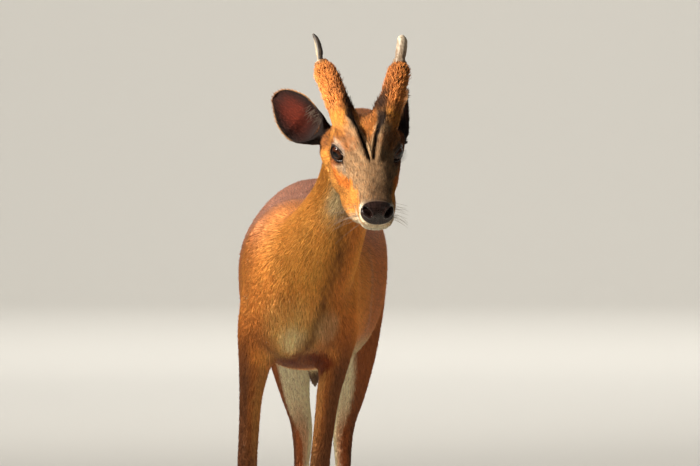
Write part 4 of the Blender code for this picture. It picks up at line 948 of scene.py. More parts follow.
        # the cup: its own maroon and dark rim, with painted shade deepening it, most near the base of the ear
        cup = mix(np.tile(EAR_IN_AND_SHADE, (count, 1)), rgb(96, 30, 10), step(-np.abs(share - 0.60), -0.38, -0.05) * step(-rim, -0.80, -0.25))
        cup = mix(cup, EAR_RIM_AND_SHADE, np.maximum(step(rim, 0.72, 0.95), step(-share, -0.34, -0.12)))
        cup = mix(cup, rgb(222, 194, 146), step(rim, 0.97, 1.0) * step(share, 0.12, 0.2) * 0.7)
        front = -(n @ EAR_FRAMES[s][:3, 1])
        # painted shadow: the side of the ear's stalk that faces the way the cup opens, near the head, is painted dark
        outer = mix(outer, EAR_RIM_AND_SHADE, step(front, -0.40, 0.15) * step(share, -0.16, -0.02) * step(-share, -0.40, -0.30))
        ear_colour = mix(outer, cup, inner)
        c = np.where(on[:, None], ear_colour, c)
    return np.clip(c, 0.002, 0.95)


# Meshes as arrays
def arrays_of(made):
    mesh = made.data
    points = np.empty(len(mesh.vertices) * 3)
    mesh.vertices.foreach_get("co", points)
    mesh.calc_loop_triangles()
    tris = np.empty(len(mesh.loop_triangles) * 3, np.int32)
    mesh.loop_triangles.foreach_get("vertices", tris)
    return points.reshape(-1, 3), tris.reshape(-1, 3)


def vertex_normals(points, tris):
    a, b, c = points[tris[:, 0]], points[tris[:, 1]], points[tris[:, 2]]
    face = np.cross(b - a, c - a)
    total = np.zeros_like(points)
    for axis in range(3):
        for corner in range(3):
            total[:, axis] += np.bincount(tris[:, corner], face[:, axis], len(points))
    return unit(total)


def mesh_object(name, points, tris, colours=None, uv=None, smooth=True, extra=None):
    """A mesh from arrays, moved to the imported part's place, with a colour for each vertex and a UV for each corner."""
    mesh = bpy.data.meshes.new(name)
    mesh.vertices.add(len(points))
    mesh.vertices.foreach_set("co", np.ascontiguousarray(points - SHIFT, dtype=np.float32).ravel())
    mesh.loops.add(len(tris) * 3)
    mesh.loops.foreach_set("vertex_index", np.ascontiguousarray(tris, dtype=np.int32).ravel())
    mesh.polygons.add(len(tris))
    mesh.polygons.foreach_set("loop_start", np.arange(0, len(tris) * 3, 3, dtype=np.int32))
    mesh.polygons.foreach_set("use_smooth", np.full(len(tris), smooth))
    mesh.update(calc_edges=True)
    if colours is not None:
        layer = mesh.color_attributes.new("tint", "FLOAT_COLOR", "POINT")
        four = np.ones((len(points), 4), np.float32)
        four[:, :3] = colours
        layer.data.foreach_set("color", four.ravel())
    if uv is not None:
        layer = mesh.uv_layers.new(name="OFBake")
        layer.uv.foreach_set("vector", np.ascontiguousarray(uv, dtype=np.float32).ravel())
    for key, values in (extra or {}).items():
        layer = mesh.attributes.new(key, "FLOAT", "POINT")
        layer.data.foreach_set("value", np.ascontiguousarray(values, dtype=np.float32))
    made = bpy.data.objects.new(name, mesh)
    bpy.context.scene.collection.objects.link(made)
    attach(made, "root")
    return made


# Unwrapping: each part of the animal is rolled out round its own axis into a rectangle of its own
SHEETS = {
    TRUNK: (0.02, 0.02, 0.46, 0.58), NECK: (0.02, 0.63, 0.28, 0.35), HEAD: (0.53, 0.53, 0.45, 0.45),
    LEG0: (0.53, 0.02, 0.10, 0.46), LEG0 + 1: (0.65, 0.02, 0.10, 0.46), LEG0 + 2: (0.77, 0.02, 0.10, 0.46),
    LEG0 + 3: (0.89, 0.02, 0.09, 0.46), EAR0: (0.32, 0.63, 0.08, 0.16), EAR0 + 1: (0.42, 0.63, 0.08, 0.16),
    PEDICLE0: (0.32, 0.82, 0.05, 0.15), PEDICLE0 + 1: (0.38, 0.82, 0.05, 0.15), TAIL: (0.44, 0.82, 0.06, 0.15),
}


def unrolled(p, region, inner):
    """The angle round its part's axis, in turns, and the place along it, for each point."""
    turn, along = np.zeros(len(p)), np.zeros(len(p))
    h = in_head(p)

    def put(on, x, y, t):
        turn[on] = np.arctan2(x[on], y[on]) / math.tau
        along[on] = t[on]

    put(region == TRUNK, p[:, 0], p[:, 2] - 0.42, (p[:, 1] + 0.31) / 0.68)
    way = unit(NECK_AXIS[-1] - NECK_AXIS[0])
    side_way = unit(np.cross(way, (0, 0, 1)))
    gap = p - NECK_AXIS[0]
    put(region == NECK, gap @ side_way, gap @ np.cross(side_way, way), gap @ way / 0.32)
    put(region == HEAD, h[:, 0], h[:, 2] + 0.012, (h[:, 1] + 0.14) / 0.25)
    for k in range(4):
        rows = LEG_AXES[k][::-1]
        x = p[:, 0] - np.interp(p[:, 2], rows[:, 2], rows[:, 0])
        y = p[:, 1] - np.interp(p[:, 2], rows[:, 2], rows[:, 1])
        put(region == LEG0 + k, x, y, p[:, 2] / 0.42)
    for k, (root, tip) in enumerate(PEDICLES):
        way = unit(tip - root)
        gap = h - root
        a = unit(np.cross(way, (0, 1, 0)))
        put(region == PEDICLE0 + k, gap @ a, gap @ np.cross(a, way), gap @ way / 0.11)
    for k, s in enumerate((-1, 1)):
        q = in_ear(p, s)
        on = region == EAR0 + k
        turn[on] = (q[:, 0] / 0.075 * 0.42 + np.where(inner > 0.5, 0.25, -0.25))[on]
        along[on] = (q[:, 2] / 0.11)[on]
    put(region == TAIL, p[:, 0], p[:, 1] - np.interp(-p[:, 2], -TAIL_AXIS[:, 2], TAIL_AXIS[:, 1]), (p[:, 2] - 0.33) / 0.19)
    return turn, along


def sheet_place(region, turn, along):
    table = np.array([SHEETS[k] for k in range(12)])[region]
    uv = np.stack([table[:, 0] + table[:, 2] * (turn + 0.5), table[:, 1] + table[:, 3] * np.clip(along, 0, 1)], 1)
    return np.clip(uv, 0.004, 0.996)


def skin_uv(points, tris, ears, inner):
    """A UV for each corner: corners take the angle nearest to that of their face's middle."""
    middle = points[tris].mean(1)
    region = region_of(middle, ears[tris[:, 0]])
    part_inner = inner[tris].mean(1)
    turn0, _ = unrolled(middle, region, part_inner)
    found = []
    for corner in range(3):
        turn, along = unrolled(points[tris[:, corner]], region, part_inner)
        turn = turn0 + (turn - turn0 + 0.5) % 1.0 - 0.5
        found.append(sheet_place(region, turn, along))
    return np.stack(found, 1)


# Building the skin
def object_from(bm, name="mass"):
    bmesh.ops.recalc_face_normals(bm, faces=bm.faces)
    mesh = bpy.data.meshes.new(name)
    bm.to_mesh(mesh)
    bm.free()
    made = bpy.data.objects.new(name, mesh)
    bpy.context.scene.collection.objects.link(made)
    return made


def fused(bm, voxel):
    """All the masses as one closed mesh, as a BMesh."""
    made = object_from(bm)
    remesh = made.modifiers.new("fuse", "REMESH")
    remesh.mode = "VOXEL"
    remesh.voxel_size = voxel
    bpy.context.view_layer.update()
    mesh = bpy.data.meshes.new_from_object(made.evaluated_get(bpy.context.evaluated_depsgraph_get()))
    bpy.data.objects.remove(made)
    out = bmesh.new()
    out.from_mesh(mesh)
    bpy.data.meshes.remove(mesh)
    return out


def points_of(bm):
    return np.array([v.co for v in bm.verts])


def put_points(bm, points):
    for v, p in zip(bm.verts, points):
        v.co = p


def ease(bm, points, rounds, share=None, shrink=0.5, swell=-0.53):
    """Smooths the points without thinning the shape, by a pass inwards and one outwards each round."""
    bm.verts.index_update()
    ends = np.array([(e.verts[0].index, e.verts[1].index) for e in bm.edges])
    a, b = ends.T
    count = np.bincount(np.concatenate([a, b]), minlength=len(points))[:, None]
    share = 1.0 if share is None else share[:, None]
    for _ in range(rounds):
        for push in (shrink, swell):
            total = np.zeros_like(points)
            for axis in range(3):
                total[:, axis] = np.bincount(a, points[b, axis], len(points))
                total[:, axis] += np.bincount(b, points[a, axis], len(points))
            points = points + (total / count - points) * push * share
    return points


def refine(bm, chosen):
    """Halves the edges of the faces whose middles the function picks."""
    faces = list(bm.faces)
    middles = np.array([f.calc_center_median() for f in faces])
    picked = chosen(in_head(middles))
    edges = {e for f, yes in zip(faces, picked) if yes for e in f.edges}
    bmesh.ops.subdivide_edges(bm, edges=list(edges), cuts=1, use_grid_fill=True)
    wide = [f for f in bm.faces if len(f.verts) > 4]
    bmesh.ops.triangulate(bm, faces=wide)


def around_eyes(reach):
    def chosen(h):
        near = np.zeros(len(h), bool)
        for side in (-1, 1):
            rho, _, far, _ = lid_place(h, side)
            near |= (rho < reach) & (far < 0.022)
        return near

    return chosen


def fine_places(h):
    gap, along = mouth_distance(h)
    mouth = (np.abs(gap) < 0.0035) & (along > 0)
    gland, _ = gland_distance(h)
    off, _, line = line_place(h)
    nose = -h[:, 1] > 0.100
    return around_eyes(1.9)(h) | mouth | (gland < 0.006) | nose | (np.abs(off) < 0.007) & (line > 0.1)


def finest_places(h):
    return around_eyes(1.32)(h) | (pad_depth(h) > -0.003) & (-h[:, 1] > 0.1085)


def narrow_face(h):
    """Before the eyes and above the cheeks the face is narrow, so that the eyes look forward past it."""
    ahead, x = -h[:, 1], np.abs(h[:, 0])
    limit = np.interp(ahead, [-0.004, 0.006, 0.014, 0.024, 0.040, 0.060], [0.0430, 0.0355, 0.0300, 0.0292, 0.0290, 0.0282])
    held = step(h[:, 2], -0.022, -0.004) * step(ahead, -0.004, 0.005) * (1 - step(ahead, 0.060, 0.085))
    out = h.copy()
    out[:, 0] = np.sign(h[:, 0]) * (x - np.maximum(x - limit, 0) * held * 0.92)
    return out


def shape_head(points, normals):
    """Lids, nose, mouth, glands and the folds of the face."""
    h = in_head(points)
    n = normals @ AXES
    for side in (-1, 1):
        centre = np.array((side * EYE_OUT, 0, EYE_UP))
        rho, rise, far, wide = lid_place(h, side)
        way = (h - centre) / far[:, None]
        outward = np.array(eye_axes(side)[0])
        on = (way @ outward > -0.1) * step(-far, -0.0225, -0.0175)
        lid = EYE_RADIUS + 0.0012 + 0.0009 * np.exp(-(((rho - 1.14) / 0.10) ** 2))
        lid -= 0.0008 * np.exp(-(((rho - 1.42) / 0.07) ** 2)) * step(rise, -0.1, 0.5)
        lid -= 0.0006 * np.exp(-(((rho - 1.36) / 0.07) ** 2)) * step(-rise, 0.0, 0.5)
        goal = far + (lid - far) * step(-rho, -1.75, -1.25)
        goal += (0.0095 - goal) * step(-rho, -1.035, -0.985)
        h = centre + way * (far + (goal - far) * on)[:, None]
    pad = pad_depth(h)
    h += n * (0.0008 * step(pad, -0.0004, 0.0010) - 0.0005 * np.exp(-(((pad + 0.0008) / 0.0006) ** 2)))[:, None]
    hole = nostril_depth(h)
    side = np.sign(h[:, 0])
    inward = np.stack([-0.30 * side, np.full(len(h), 0.95), np.full(len(h), -0.05)], 1)
    near_front = step(-h[:, 1], 0.104, 0.110)
    h += inward * (0.0085 * step(hole, 0.0, 0.62) * near_front)[:, None]
    h += n * (0.0011 * np.exp(-(((hole + 0.30) / 0.30) ** 2)) * near_front * (hole < 0.05))[:, None]
    h -= n * (0.0008 * np.exp(-((h[:, 0] / 0.0009) ** 2)) * near_front * step(-h[:, 2], -0.006, 0.002) * step(h[:, 2], -0.0215, -0.017))[:, None]
    gap, along = mouth_distance(h)
    h -= n * (0.0019 * np.exp(-((gap / 0.0008) ** 2)) * along)[:, None]
    h += n * (0.0006 * np.exp(-(((np.abs(gap) - 0.0026) / 0.0016) ** 2)) * along)[:, None]
    off, down, on = line_place(h)
    wide = 1.15 - 0.55 * down
    h -= n * (0.0026 * np.exp(-(((off - 0.0020) / (0.0021 * wide)) ** 2)) * on)[:, None]
    h += n * (0.0014 * np.exp(-(((off + 0.0016) / 0.0012) ** 2)) * on)[:, None]
    h += n * (0.0016 * np.exp(-(((off - 0.0082) / 0.0030) ** 2)) * on)[:, None]
    ridge = np.exp(-((h[:, 0] / 0.0016) ** 2)) * step(h[:, 1], -0.044, -0.036) * step(-h[:, 1], -0.016, 0.004)
    h += n * (0.0007 * ridge * step(h[:, 2], 0.010, 0.015))[:, None]
    far, _ = gland_distance(h)
    h -= n * (0.0022 * np.exp(-((far / 0.0011) ** 2)))[:, None]
    h += n * (0.0008 * np.exp(-(((far - 0.0032) / 0.0016) ** 2)))[:, None]
    return h @ AXES.T + EYE_POINT


NECK_PLANE = np.array((0.078, -0.350, 0.580))
NECK_WAY = np.array(axes(40, 12)[0])


def past_neck(points):
    """How far a point lies on the head's side of the place where head and neck meet."""
    return (points - NECK_PLANE) @ NECK_WAY


def coat_depth(points, region):
    """How deep the skin lies under the tips of the coat."""
    depth = np.full(len(points), 0.0036)
    depth[region == NECK] = 0.0040
    legs = (region >= LEG0) & (region < EAR0)
    depth = np.where(legs, np.interp(points[:, 2], [0.03, 0.10, 0.22, 0.34], [0.0008, 0.0014, 0.0022, 0.0034]), depth)
    depth = np.where(region == TAIL, 0.0022, depth)
    h = in_head(points)
    face = np.interp(-h[:, 1], [-0.09, -0.05, 0.0, 0.05, 0.10, 0.12], [0.0036, 0.0024, 0.0013, 0.0010, 0.0006, 0.0])
    for side in (-1, 1):
        rho, _, far, _ = lid_place(h, side)
        face = np.where(far < 0.020, face * step(rho, 1.3, 1.7), face)
    depth = np.where(region == HEAD, face, depth)
    for root, tip in PEDICLES:
        far, share = to_segment(h, root, tip)
        held = step(share, 0.05, 0.25) * step(-far, -0.030, -0.020) * step(h[:, 2], 0.014, 0.024)
        depth = np.where(region >= HEAD, depth + (0.0030 - depth) * held, depth)
    return depth


def ear_skin(side):
    """A fine ear as points and triangles, with 1 for the points inside its cup."""
    frame_of_ear, stalk = EAR_FRAMES[side], EARS[side][1]
    stations = ((-0.13, 0.0120, 155, 0.0040, 0.0, 0.0, 0.0),) + EAR_STATIONS
    rows = smooth_through([(r[0] * 0.08, 0, 0) + tuple(r) for r in stations], 3)
    across = 34
    rings, inner = [], []
    for row in rows:
        share, half, roll, wall, hollow, lean, sway = row[3:]
        hollow, sway = min(max(hollow, 0.0), 1.0), sway * side
        roll = math.radians(roll)
        half -= 0.0005
        radius = half / math.sin(min(roll, math.pi / 2))
        centre = -radius * math.cos(roll) * min(1.0, max(0.0, (share - 0.1) / 0.4)) + lean
        z = stalk + (EAR_LENGTH - stalk) * share
        loop = []
        for k in range(across + 1):
            angle = roll * (2 * k / across - 1)
            loop.append((radius * math.sin(angle) + sway, radius * math.cos(angle) + centre, z))
        rim = max(0.25, 1 - (wall - 0.0008) / max(radius, 1e-4))
        for k in range(across, -1, -1):
            s = 2 * k / across - 1
            angle = roll * s * (1 - 0.02 * hollow)
            cup = np.array((radius * rim * math.sin(angle) + sway, radius * rim * math.cos(angle) + centre, z))
            angle = math.pi - (math.pi - roll) * s * 0.9
            plug = np.array((radius * math.sin(angle) + sway, radius * math.cos(angle) + centre, z))
            loop.append(tuple(plug + (cup - plug) * hollow))
        rings.append(loop)
        inner.append([0.0] * (across + 1) + [float(hollow > 0.3)] * (across + 1))
    points = np.array(rings) @ frame_of_ear[:3, :3].T + frame_of_ear[:3, 3]
    count = points.shape[1]
    tris = []
    for i in range(len(rings) - 1):
        for j in range(count):
            a, b = i * count + j, i * count + (j + 1) % count
            tris += [(a, b, b + count), (a, b + count, a + count)]
    last = (len(rings) - 1) * count
    for j in range(1, count - 1):
        tris.append((0, j + 1, j))
        tris.append((last, last + j, last + j + 1))
    points, tris = points.reshape(-1, 3), np.array(tris)
    volume = np.einsum("ij,ij->i", points[tris[:, 0]], np.cross(points[tris[:, 1]], points[tris[:, 2]])).sum()
    if volume < 0:
        tris = tris[:, ::-1]
    return points, tris, np.array(inner).ravel()


def triangles_of(bm):
    """The corners of a BMesh's faces, each cut into triangles."""
    bmesh.ops.triangulate(bm, faces=bm.faces)
    bm.verts.index_update()
    return np.array([[v.index for v in f.verts] for f in bm.faces])


def build_skin():
    bm = bmesh.new()
    trunk(bm)
    neck(bm)
    tail_mass(bm)
    for leg in LEGS:
        leg_mass(bm, leg)
    bm = fused(bm, BODY_VOXEL)
    body = ease(bm, points_of(bm), BODY_ROUNDS)
    body_tris = triangles_of(bm)
    bm.free()

    bm = bmesh.new()
    loft(bm, NECK_RINGS[2:], sides=36)
    skull(bm)
    bm = fused(bm, HEAD_VOXEL)
    put_points(bm, ease(bm, points_of(bm), HEAD_ROUNDS))
    refine(bm, fine_places)
    refine(bm, finest_places)
    head = points_of(bm)
    h = narrow_face(in_head(head))
    head = h @ AXES.T + EYE_POINT
    head = ease(bm, head, 3)
    head_tris = triangles_of(bm)
    bm.free()
    for rounds in range(1):
        head = shape_head(head, vertex_normals(head, head_tris))

    nowhere = np.zeros
    region = region_of(body, nowhere(len(body)))
    # hollow between the two sides of the brisket
    far, _ = to_segment(body, (0.020, -0.292, 0.350), (0.014, -0.205, 0.306))
    body = body - vertex_normals(body, body_tris) * (0.0075 * np.exp(-((far / 0.017) ** 2)))[:, None]
    over = step(past_neck(body), 0.0, 0.024) * 0.009
    body = body - vertex_normals(body, body_tris) * (coat_depth(body, region) + over)[:, None]
    region = region_of(head, nowhere(len(head)))
    over = step(-past_neck(head), 0.0, 0.024)
    head = head - vertex_normals(head, head_tris) * coat_depth(head, region)[:, None]
    way = unit(NECK_AXIS[-1] - NECK_AXIS[2])
    inmost = NECK_AXIS[2] + ((head - NECK_AXIS[2]) @ way)[:, None] * way
    head = mix(head, inmost + way * 0.01, over * 0.34)
    parts, tris, ears, inner = [body, head], [body_tris, head_tris + len(body)], [nowhere(len(body) + len(head))], []
    inner.append(nowhere(len(body) + len(head)))
    made = len(body) + len(head)
    for side in (-1, 1):
        points, corners, cup = ear_skin(side)
        parts.append(points)
        tris.append(corners + made)
        ears.append(np.full(len(points), side))
        inner.append(cup)
        made += len(points)
    source = np.concatenate([np.zeros(len(body)), np.ones(len(head)), np.full(made - len(body) - len(head), 2)])
    return np.concatenate(parts), np.concatenate(tris), np.concatenate(ears), np.concatenate(inner), source


def hair_size(p, region, inner):
    """Length, width, height of the tips over the skin and spacing of the tufts at each point, in metres."""
    count = len(p)
    length, lift, gap = np.full(count, 0.0105), np.full(count, 0.0030), np.full(count, 0.00150)
    width = np.full(count, 0.00120)
    neck = region == NECK
    length[neck], lift[neck], gap[neck], width[neck] = 0.0095, 0.0034, 0.00130, 0.00105
    legs = (region >= LEG0) & (region < EAR0)
    z = p[:, 2]
    length = np.where(legs, np.interp(z, [0.03, 0.08, 0.16, 0.24, 0.34], [0.0055, 0.0070, 0.0080, 0.0095, 0.0105]), length)
    lift = np.where(legs, np.interp(z, [0.03, 0.10, 0.24, 0.34], [0.0008, 0.0012, 0.0020, 0.0030]), lift)
    gap = np.where(legs, np.interp(z, [0.03, 0.10, 0.24, 0.34], [0.00125, 0.0013, 0.0013, 0.0014]), gap)
    width = np.where(legs, np.interp(z, [0.03, 0.10, 0.24, 0.34], [0.0008, 0.0009, 0.0010, 0.0011]), width)
    h = in_head(p)
    ahead = -h[:, 1]
    on = region == HEAD
    length = np.where(on, np.interp(ahead, [-0.09, -0.05, 0.0, 0.05, 0.10, 0.125], [0.0120, 0.0092, 0.0072, 0.0066, 0.0046, 0.0030]), length)
    lift = np.where(on, np.interp(ahead, [-0.09, -0.05, 0.0, 0.10], [0.0030, 0.0024, 0.0018, 0.0009]), lift)
    gap = np.where(on, np.interp(ahead, [-0.09, -0.05, 0.0, 0.05, 0.11], [0.00125, 0.0010, 0.00080, 0.00078, 0.00070]), gap)
    width = np.where(on, np.interp(ahead, [-0.09, -0.05, 0.0, 0.05, 0.11], [0.0012, 0.00105, 0.00095, 0.00090, 0.00065]), width)
    for root, tip in PEDICLES:
        far, share = to_segment(h, root, tip)
        held = step(share, 0.05, 0.25) * step(-far, -0.030, -0.020) * step(h[:, 2], 0.014, 0.024) * (region >= HEAD)
        shut = 1 - 0.35 * step(share, 0.80, 0.97)
        length += (0.0082 * shut - length) * held
        lift += (0.0054 * shut - lift) * held
        gap += (0.00112 - gap) * held
        width += (0.00135 - width) * held
    ears = (region == EAR0) | (region == EAR0 + 1)
    length = np.where(ears, 0.0050, length)
    lift = np.where(ears, 0.0006, lift)
    gap = np.where(ears, np.where(inner > 0.5, 0.0022, 0.00105), gap)
    width = np.where(ears, 0.00065, width)
    tail = region == TAIL
    length, lift, gap = np.where(tail, 0.030, length), np.where(tail, 0.0048, lift), np.where(tail, 0.0018, gap)
    return length, width, lift, gap


def bare_places(middle, region, kind, inner):
    """True where no tuft grows: nose, lids, mouth, feet, and where one mass of the skin ends inside another."""
    h = in_head(middle)
    past = past_neck(middle)
    bare = (kind == 0) & (past > 0.006) & (middle[:, 1] < -0.2) | (kind == 1) & (past < -0.006)
    head = (kind == 1) & (region == HEAD)
    bare |= head & (pad_depth(h) > -0.0003)
    for side in (-1, 1):
        rho, _, far, _ = lid_place(h, side)
        bare |= head & (rho < 1.16) & (far < 0.020)
    gap_z, along = mouth_distance(h)
    bare |= head & (np.abs(gap_z) < 0.0007) & (along > 0.5)
    bare |= middle[:, 2] < 0.0235
    return bare


def plant(rng, points, tris, normals, ears, inner, weight, amount, tree, bent):
    """Tufts spread evenly by weight over the skin: corners, faces, colours, places on the unwrap and parts."""
    total = weight.sum()
    print("tufts wanted", int(total), "of", amount)
    amount = int(min(total, amount))
    place = (np.arange(amount) + rng.random(amount)) * (total / amount)
    face = np.minimum(np.searchsorted(np.cumsum(weight), place), len(tris) - 1)
    a, b, c = (points[tris[face, k]] for k in range(3))
    r1, r2 = np.sqrt(rng.random(amount)), rng.random(amount)
    roots = a * (1 - r1)[:, None] + b * (r1 * (1 - r2))[:, None] + c * (r1 * r2)[:, None]
    n = unit(normals[tris[face]].mean(1))
    ear = ears[tris[face, 0]]
    cup = inner[tris[face]].mean(1)
    region = region_of(points[tris[face]].mean(1), ear)
    length, width, lift, _ = hair_size(roots, region, cup)
    way = lie_of(roots, n, region)
    length = length * rng.uniform(0.70, 1.25, amount)
    width = width * rng.uniform(0.75, 1.25, amount)
    stalk = (region >= PEDICLE0) & (region < TAIL)
    swing = rng.normal(0, 0.13, amount) + stalk * (0.30 * wave(roots, 0.0035, 11) + rng.normal(0, 0.15, amount))
    way = unit(way + np.cross(n, way) * swing[:, None])
    lift = lift * rng.uniform(0.45, 1.2, amount)
    stray = (rng.random(amount) < 0.06) & (ear == 0)
    lift = np.where(stray, lift * 1.5, lift)

    def laid(share):
        """Where each tuft passes over the skin at a share of its length, and the way the skin faces there."""
        at = roots + way * (length * share)[:, None]
        over = n.copy()
        loose = (ear != 0) | (pad_depth(in_head(roots)) > -0.004)
        for i in np.flatnonzero(~loose):
            spot, normal, _, _ = tree.find_nearest(at[i])
            at[i], over[i] = spot, normal
        return at, unit(over + n)

    tips, tip_n = laid(1.0)
    tips += tip_n * (lift * 0.95)[:, None]
    across = np.cross(n, way)
    thick = width * 0.42
    base = roots - n * 0.0004
    if bent:
        mids, mid_n = laid(0.5)
        mids += mid_n * (lift * 0.55)[:, None]
        corners = np.stack(
            [
                base - across * (width / 2)[:, None],
                base + across * (width / 2)[:, None],
                base + n * (thick + 0.0003)[:, None],
                mids - across * (width * 0.44)[:, None],
                mids + across * (width * 0.44)[:, None],
                mids + mid_n * thick[:, None],
                tips,
            ],
            1,
        )
        faces = np.array(((0, 1, 4), (0, 4, 3), (1, 2, 5), (1, 5, 4), (2, 0, 3), (2, 3, 5), (3, 4, 6), (4, 5, 6), (5, 3, 6)))
        shade = np.array((0.55, 0.55, 0.62, 0.92, 0.92, 1.0, 1.20))
        patch = np.array(((-1, -1), (1, -1), (0, -1), (-1, 0.2), (1, 0.2), (0, 0.2), (0, 1))) * 0.0015
    else:
        corners = np.stack(
            [
                base - across * (width * 0.6)[:, None],
                base + across * (width * 0.6)[:, None],
                base + n * (thick + 0.0004)[:, None] + way * (length * 0.12)[:, None],
                tips,
            ],
            1,
        )
        faces = np.array(((0, 1, 3), (1, 2, 3), (2, 0, 3)))
        shade = np.array((0.66, 0.66, 0.86, 1.16))
        patch = np.array(((-1, -1), (1, -1), (0, 0), (0, 1))) * 0.0015
    colour = coat_colour(roots, n, region, cup)
    rough = np.where((region >= PEDICLE0) & (region < TAIL), 0.30, np.where(region == HEAD, 0.26, 0.20))
    grain = np.where(region == HEAD, 0.26, np.where(region == NECK, 0.25, 0.20))
    bright = 1 + rough * rng.normal(size=amount) + grain * wave(roots, 0.0026, 3) + 0.05 * wave(roots, 0.045, 7)
    colour = colour * np.clip(bright, 0.4, 1.6)[:, None]
    tint = np.clip(colour[:, None, :] * shade[None, :, None], 0.001, 0.95)
    turn, along = unrolled(roots, region, cup)
    uv = sheet_place(region, turn, along)[:, None, :] + patch[None]
    return corners, faces, tint, uv, region


def grow_coat(points, tris, ears, inner, source, tree):
    rng = np.random.default_rng(SEED)
    a, b, c = points[tris[:, 0]], points[tris[:, 1]], points[tris[:, 2]]
    area = np.linalg.norm(np.cross(b - a, c - a), axis=1) / 2
    middle = (a + b + c) / 3
    cup = inner[tris].mean(1)
    region = region_of(middle, ears[tris[:, 0]])
    _, _, _, gap = hair_size(middle, region, cup)
    weight = area / gap**2 * ~bare_places(middle, region, source[tris[:, 0]], cup)
    short = (region < PEDICLE0)
    normals = vertex_normals(points, tris)
    pieces = []
    for chosen, amount, bent in ((~short, LONG_TUFTS, True), (short, SHORT_TUFTS, False)):
        corners, faces, tint, uv, parts = plant(rng, points, tris, normals, ears, inner, weight * chosen, amount, tree, bent)
        order = np.argsort(parts, kind="stable")
        limit = 199999 // len(faces)
        for first in range(0, len(order), limit):
            pick = order[first : first + limit]
            tri = (np.arange(len(pick)) * corners.shape[1])[:, None, None] + faces[None]
            tri = tri.reshape(-1, 3)
            name = "coat_%d" % (len(pieces) + 1)
            flat_uv = uv[pick].reshape(-1, 2)[tri.ravel()]
            pieces.append(mesh_object(name, corners[pick].reshape(-1, 3), tri, tint[pick].reshape(-1, 3), flat_uv))
    return pieces


# Materials
def material(name, colour=(0.5, 0.5, 0.5), rough=0.6, **sockets):
    made = bpy.data.materials.new(name)
    made.use_nodes = True
    shader = made.node_tree.nodes["Principled BSDF"]
    shader.inputs["Base Color"].default_value = (*colour, 1.0)
    shader.inputs["Roughness"].default_value = rough
    for key, value in sockets.items():
        shader.inputs[key.replace("_", " ")].default_value = value
    return made, made.node_tree, shader


def tinted(name, rough, **sockets):
    """A finish whose colour is the mesh's own tint."""
    made, tree, shader = material(name, rough=rough, **sockets)
    node = tree.nodes.new("ShaderNodeAttribute")
    node.attribute_name = "tint"
    tree.links.new(node.outputs["Color"], shader.inputs["Base Color"])
    return made, tree, shader


def skin_material():
    made, tree, shader = tinted("skin", 0.8, Specular_IOR_Level=0.28)
    wet = tree.nodes.new("ShaderNodeAttribute")
    wet.attribute_name = "wet"
    rough = tree.nodes.new("ShaderNodeMapRange")
    rough.inputs["To Min"].default_value = 0.85
    rough.inputs["To Max"].default_value = 0.15
    tree.links.new(wet.outputs["Fac"], rough.inputs["Value"])
    tree.links.new(rough.outputs["Result"], shader.inputs["Roughness"])
    place = tree.nodes.new("ShaderNodeTexCoord")
    cells = tree.nodes.new("ShaderNodeTexVoronoi")
    cells.inputs["Scale"].default_value = 620.0
    tree.links.new(place.outputs["Object"], cells.inputs["Vector"])
    strength = tree.nodes.new("ShaderNodeMath")
    strength.operation = "MULTIPLY"
    strength.inputs[1].default_value = 0.30
    tree.links.new(wet.outputs["Fac"], strength.inputs[0])
    bump = tree.nodes.new("ShaderNodeBump")
    bump.inputs["Distance"].default_value = 0.0004
    tree.links.new(strength.outputs[0], bump.inputs["Strength"])
    tree.links.new(cells.outputs["Distance"], bump.inputs["Height"])
    tree.links.new(bump.outputs["Normal"], shader.inputs["Normal"])
    return made


def coat_material():
    made, tree, shader = tinted("coat", 0.70, Specular_IOR_Level=0.16)
    return made


# Eyes, lids and lashes
def eyeball(side):
    bm = bmesh.new()
    bmesh.ops.create_uvsphere(bm, u_segments=64, v_segments=40, radius=EYE_RADIUS)
    outward, forward, upright = (np.array(v) for v in eye_axes(side))
    spin = np.stack([forward, upright, outward], 1)
    local = points_of(bm)
    u = unit(local)
    turn = np.arccos(np.clip(u[:, 2], -1, 1))
    local = u * (EYE_RADIUS + 0.0008 * (1 - step(turn, 0.35, 0.80)) - 0.0002)[:, None]
    tris = triangles_of(bm)
    bm.free()
    around = np.arctan2(u[:, 1], u[:, 0])
    count = len(u)
    iris = mix(np.tile(rgb(70, 36, 20), (count, 1)), rgb(30, 16, 11), 0.5 + 0.5 * np.sin(around * 46 + 2 * np.sin(around * 7)))
    colour = mix(iris, rgb(16, 10, 8), step(turn, 0.62, 0.82))
    colour = mix(colour, rgb(40, 30, 27), step(turn, 0.95, 1.10))
    pupil = np.hypot(u[:, 0] / 0.40, u[:, 1] / 0.24)
    colour = mix(colour, rgb(4, 4, 5), step(-pupil, -1.12, -0.92) * (u[:, 2] > 0))
    points = local @ spin.T + np.array(eye_centre(side))
    points = points @ AXES.T + EYE_POINT
    name = "left" if side > 0 else "right"
    if np.linalg.det(spin) < 0:
        tris = tris[:, ::-1]
    made = mesh_object("eyeball_" + name, points, tris, colour)
    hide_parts("eye_" + name)
    return made


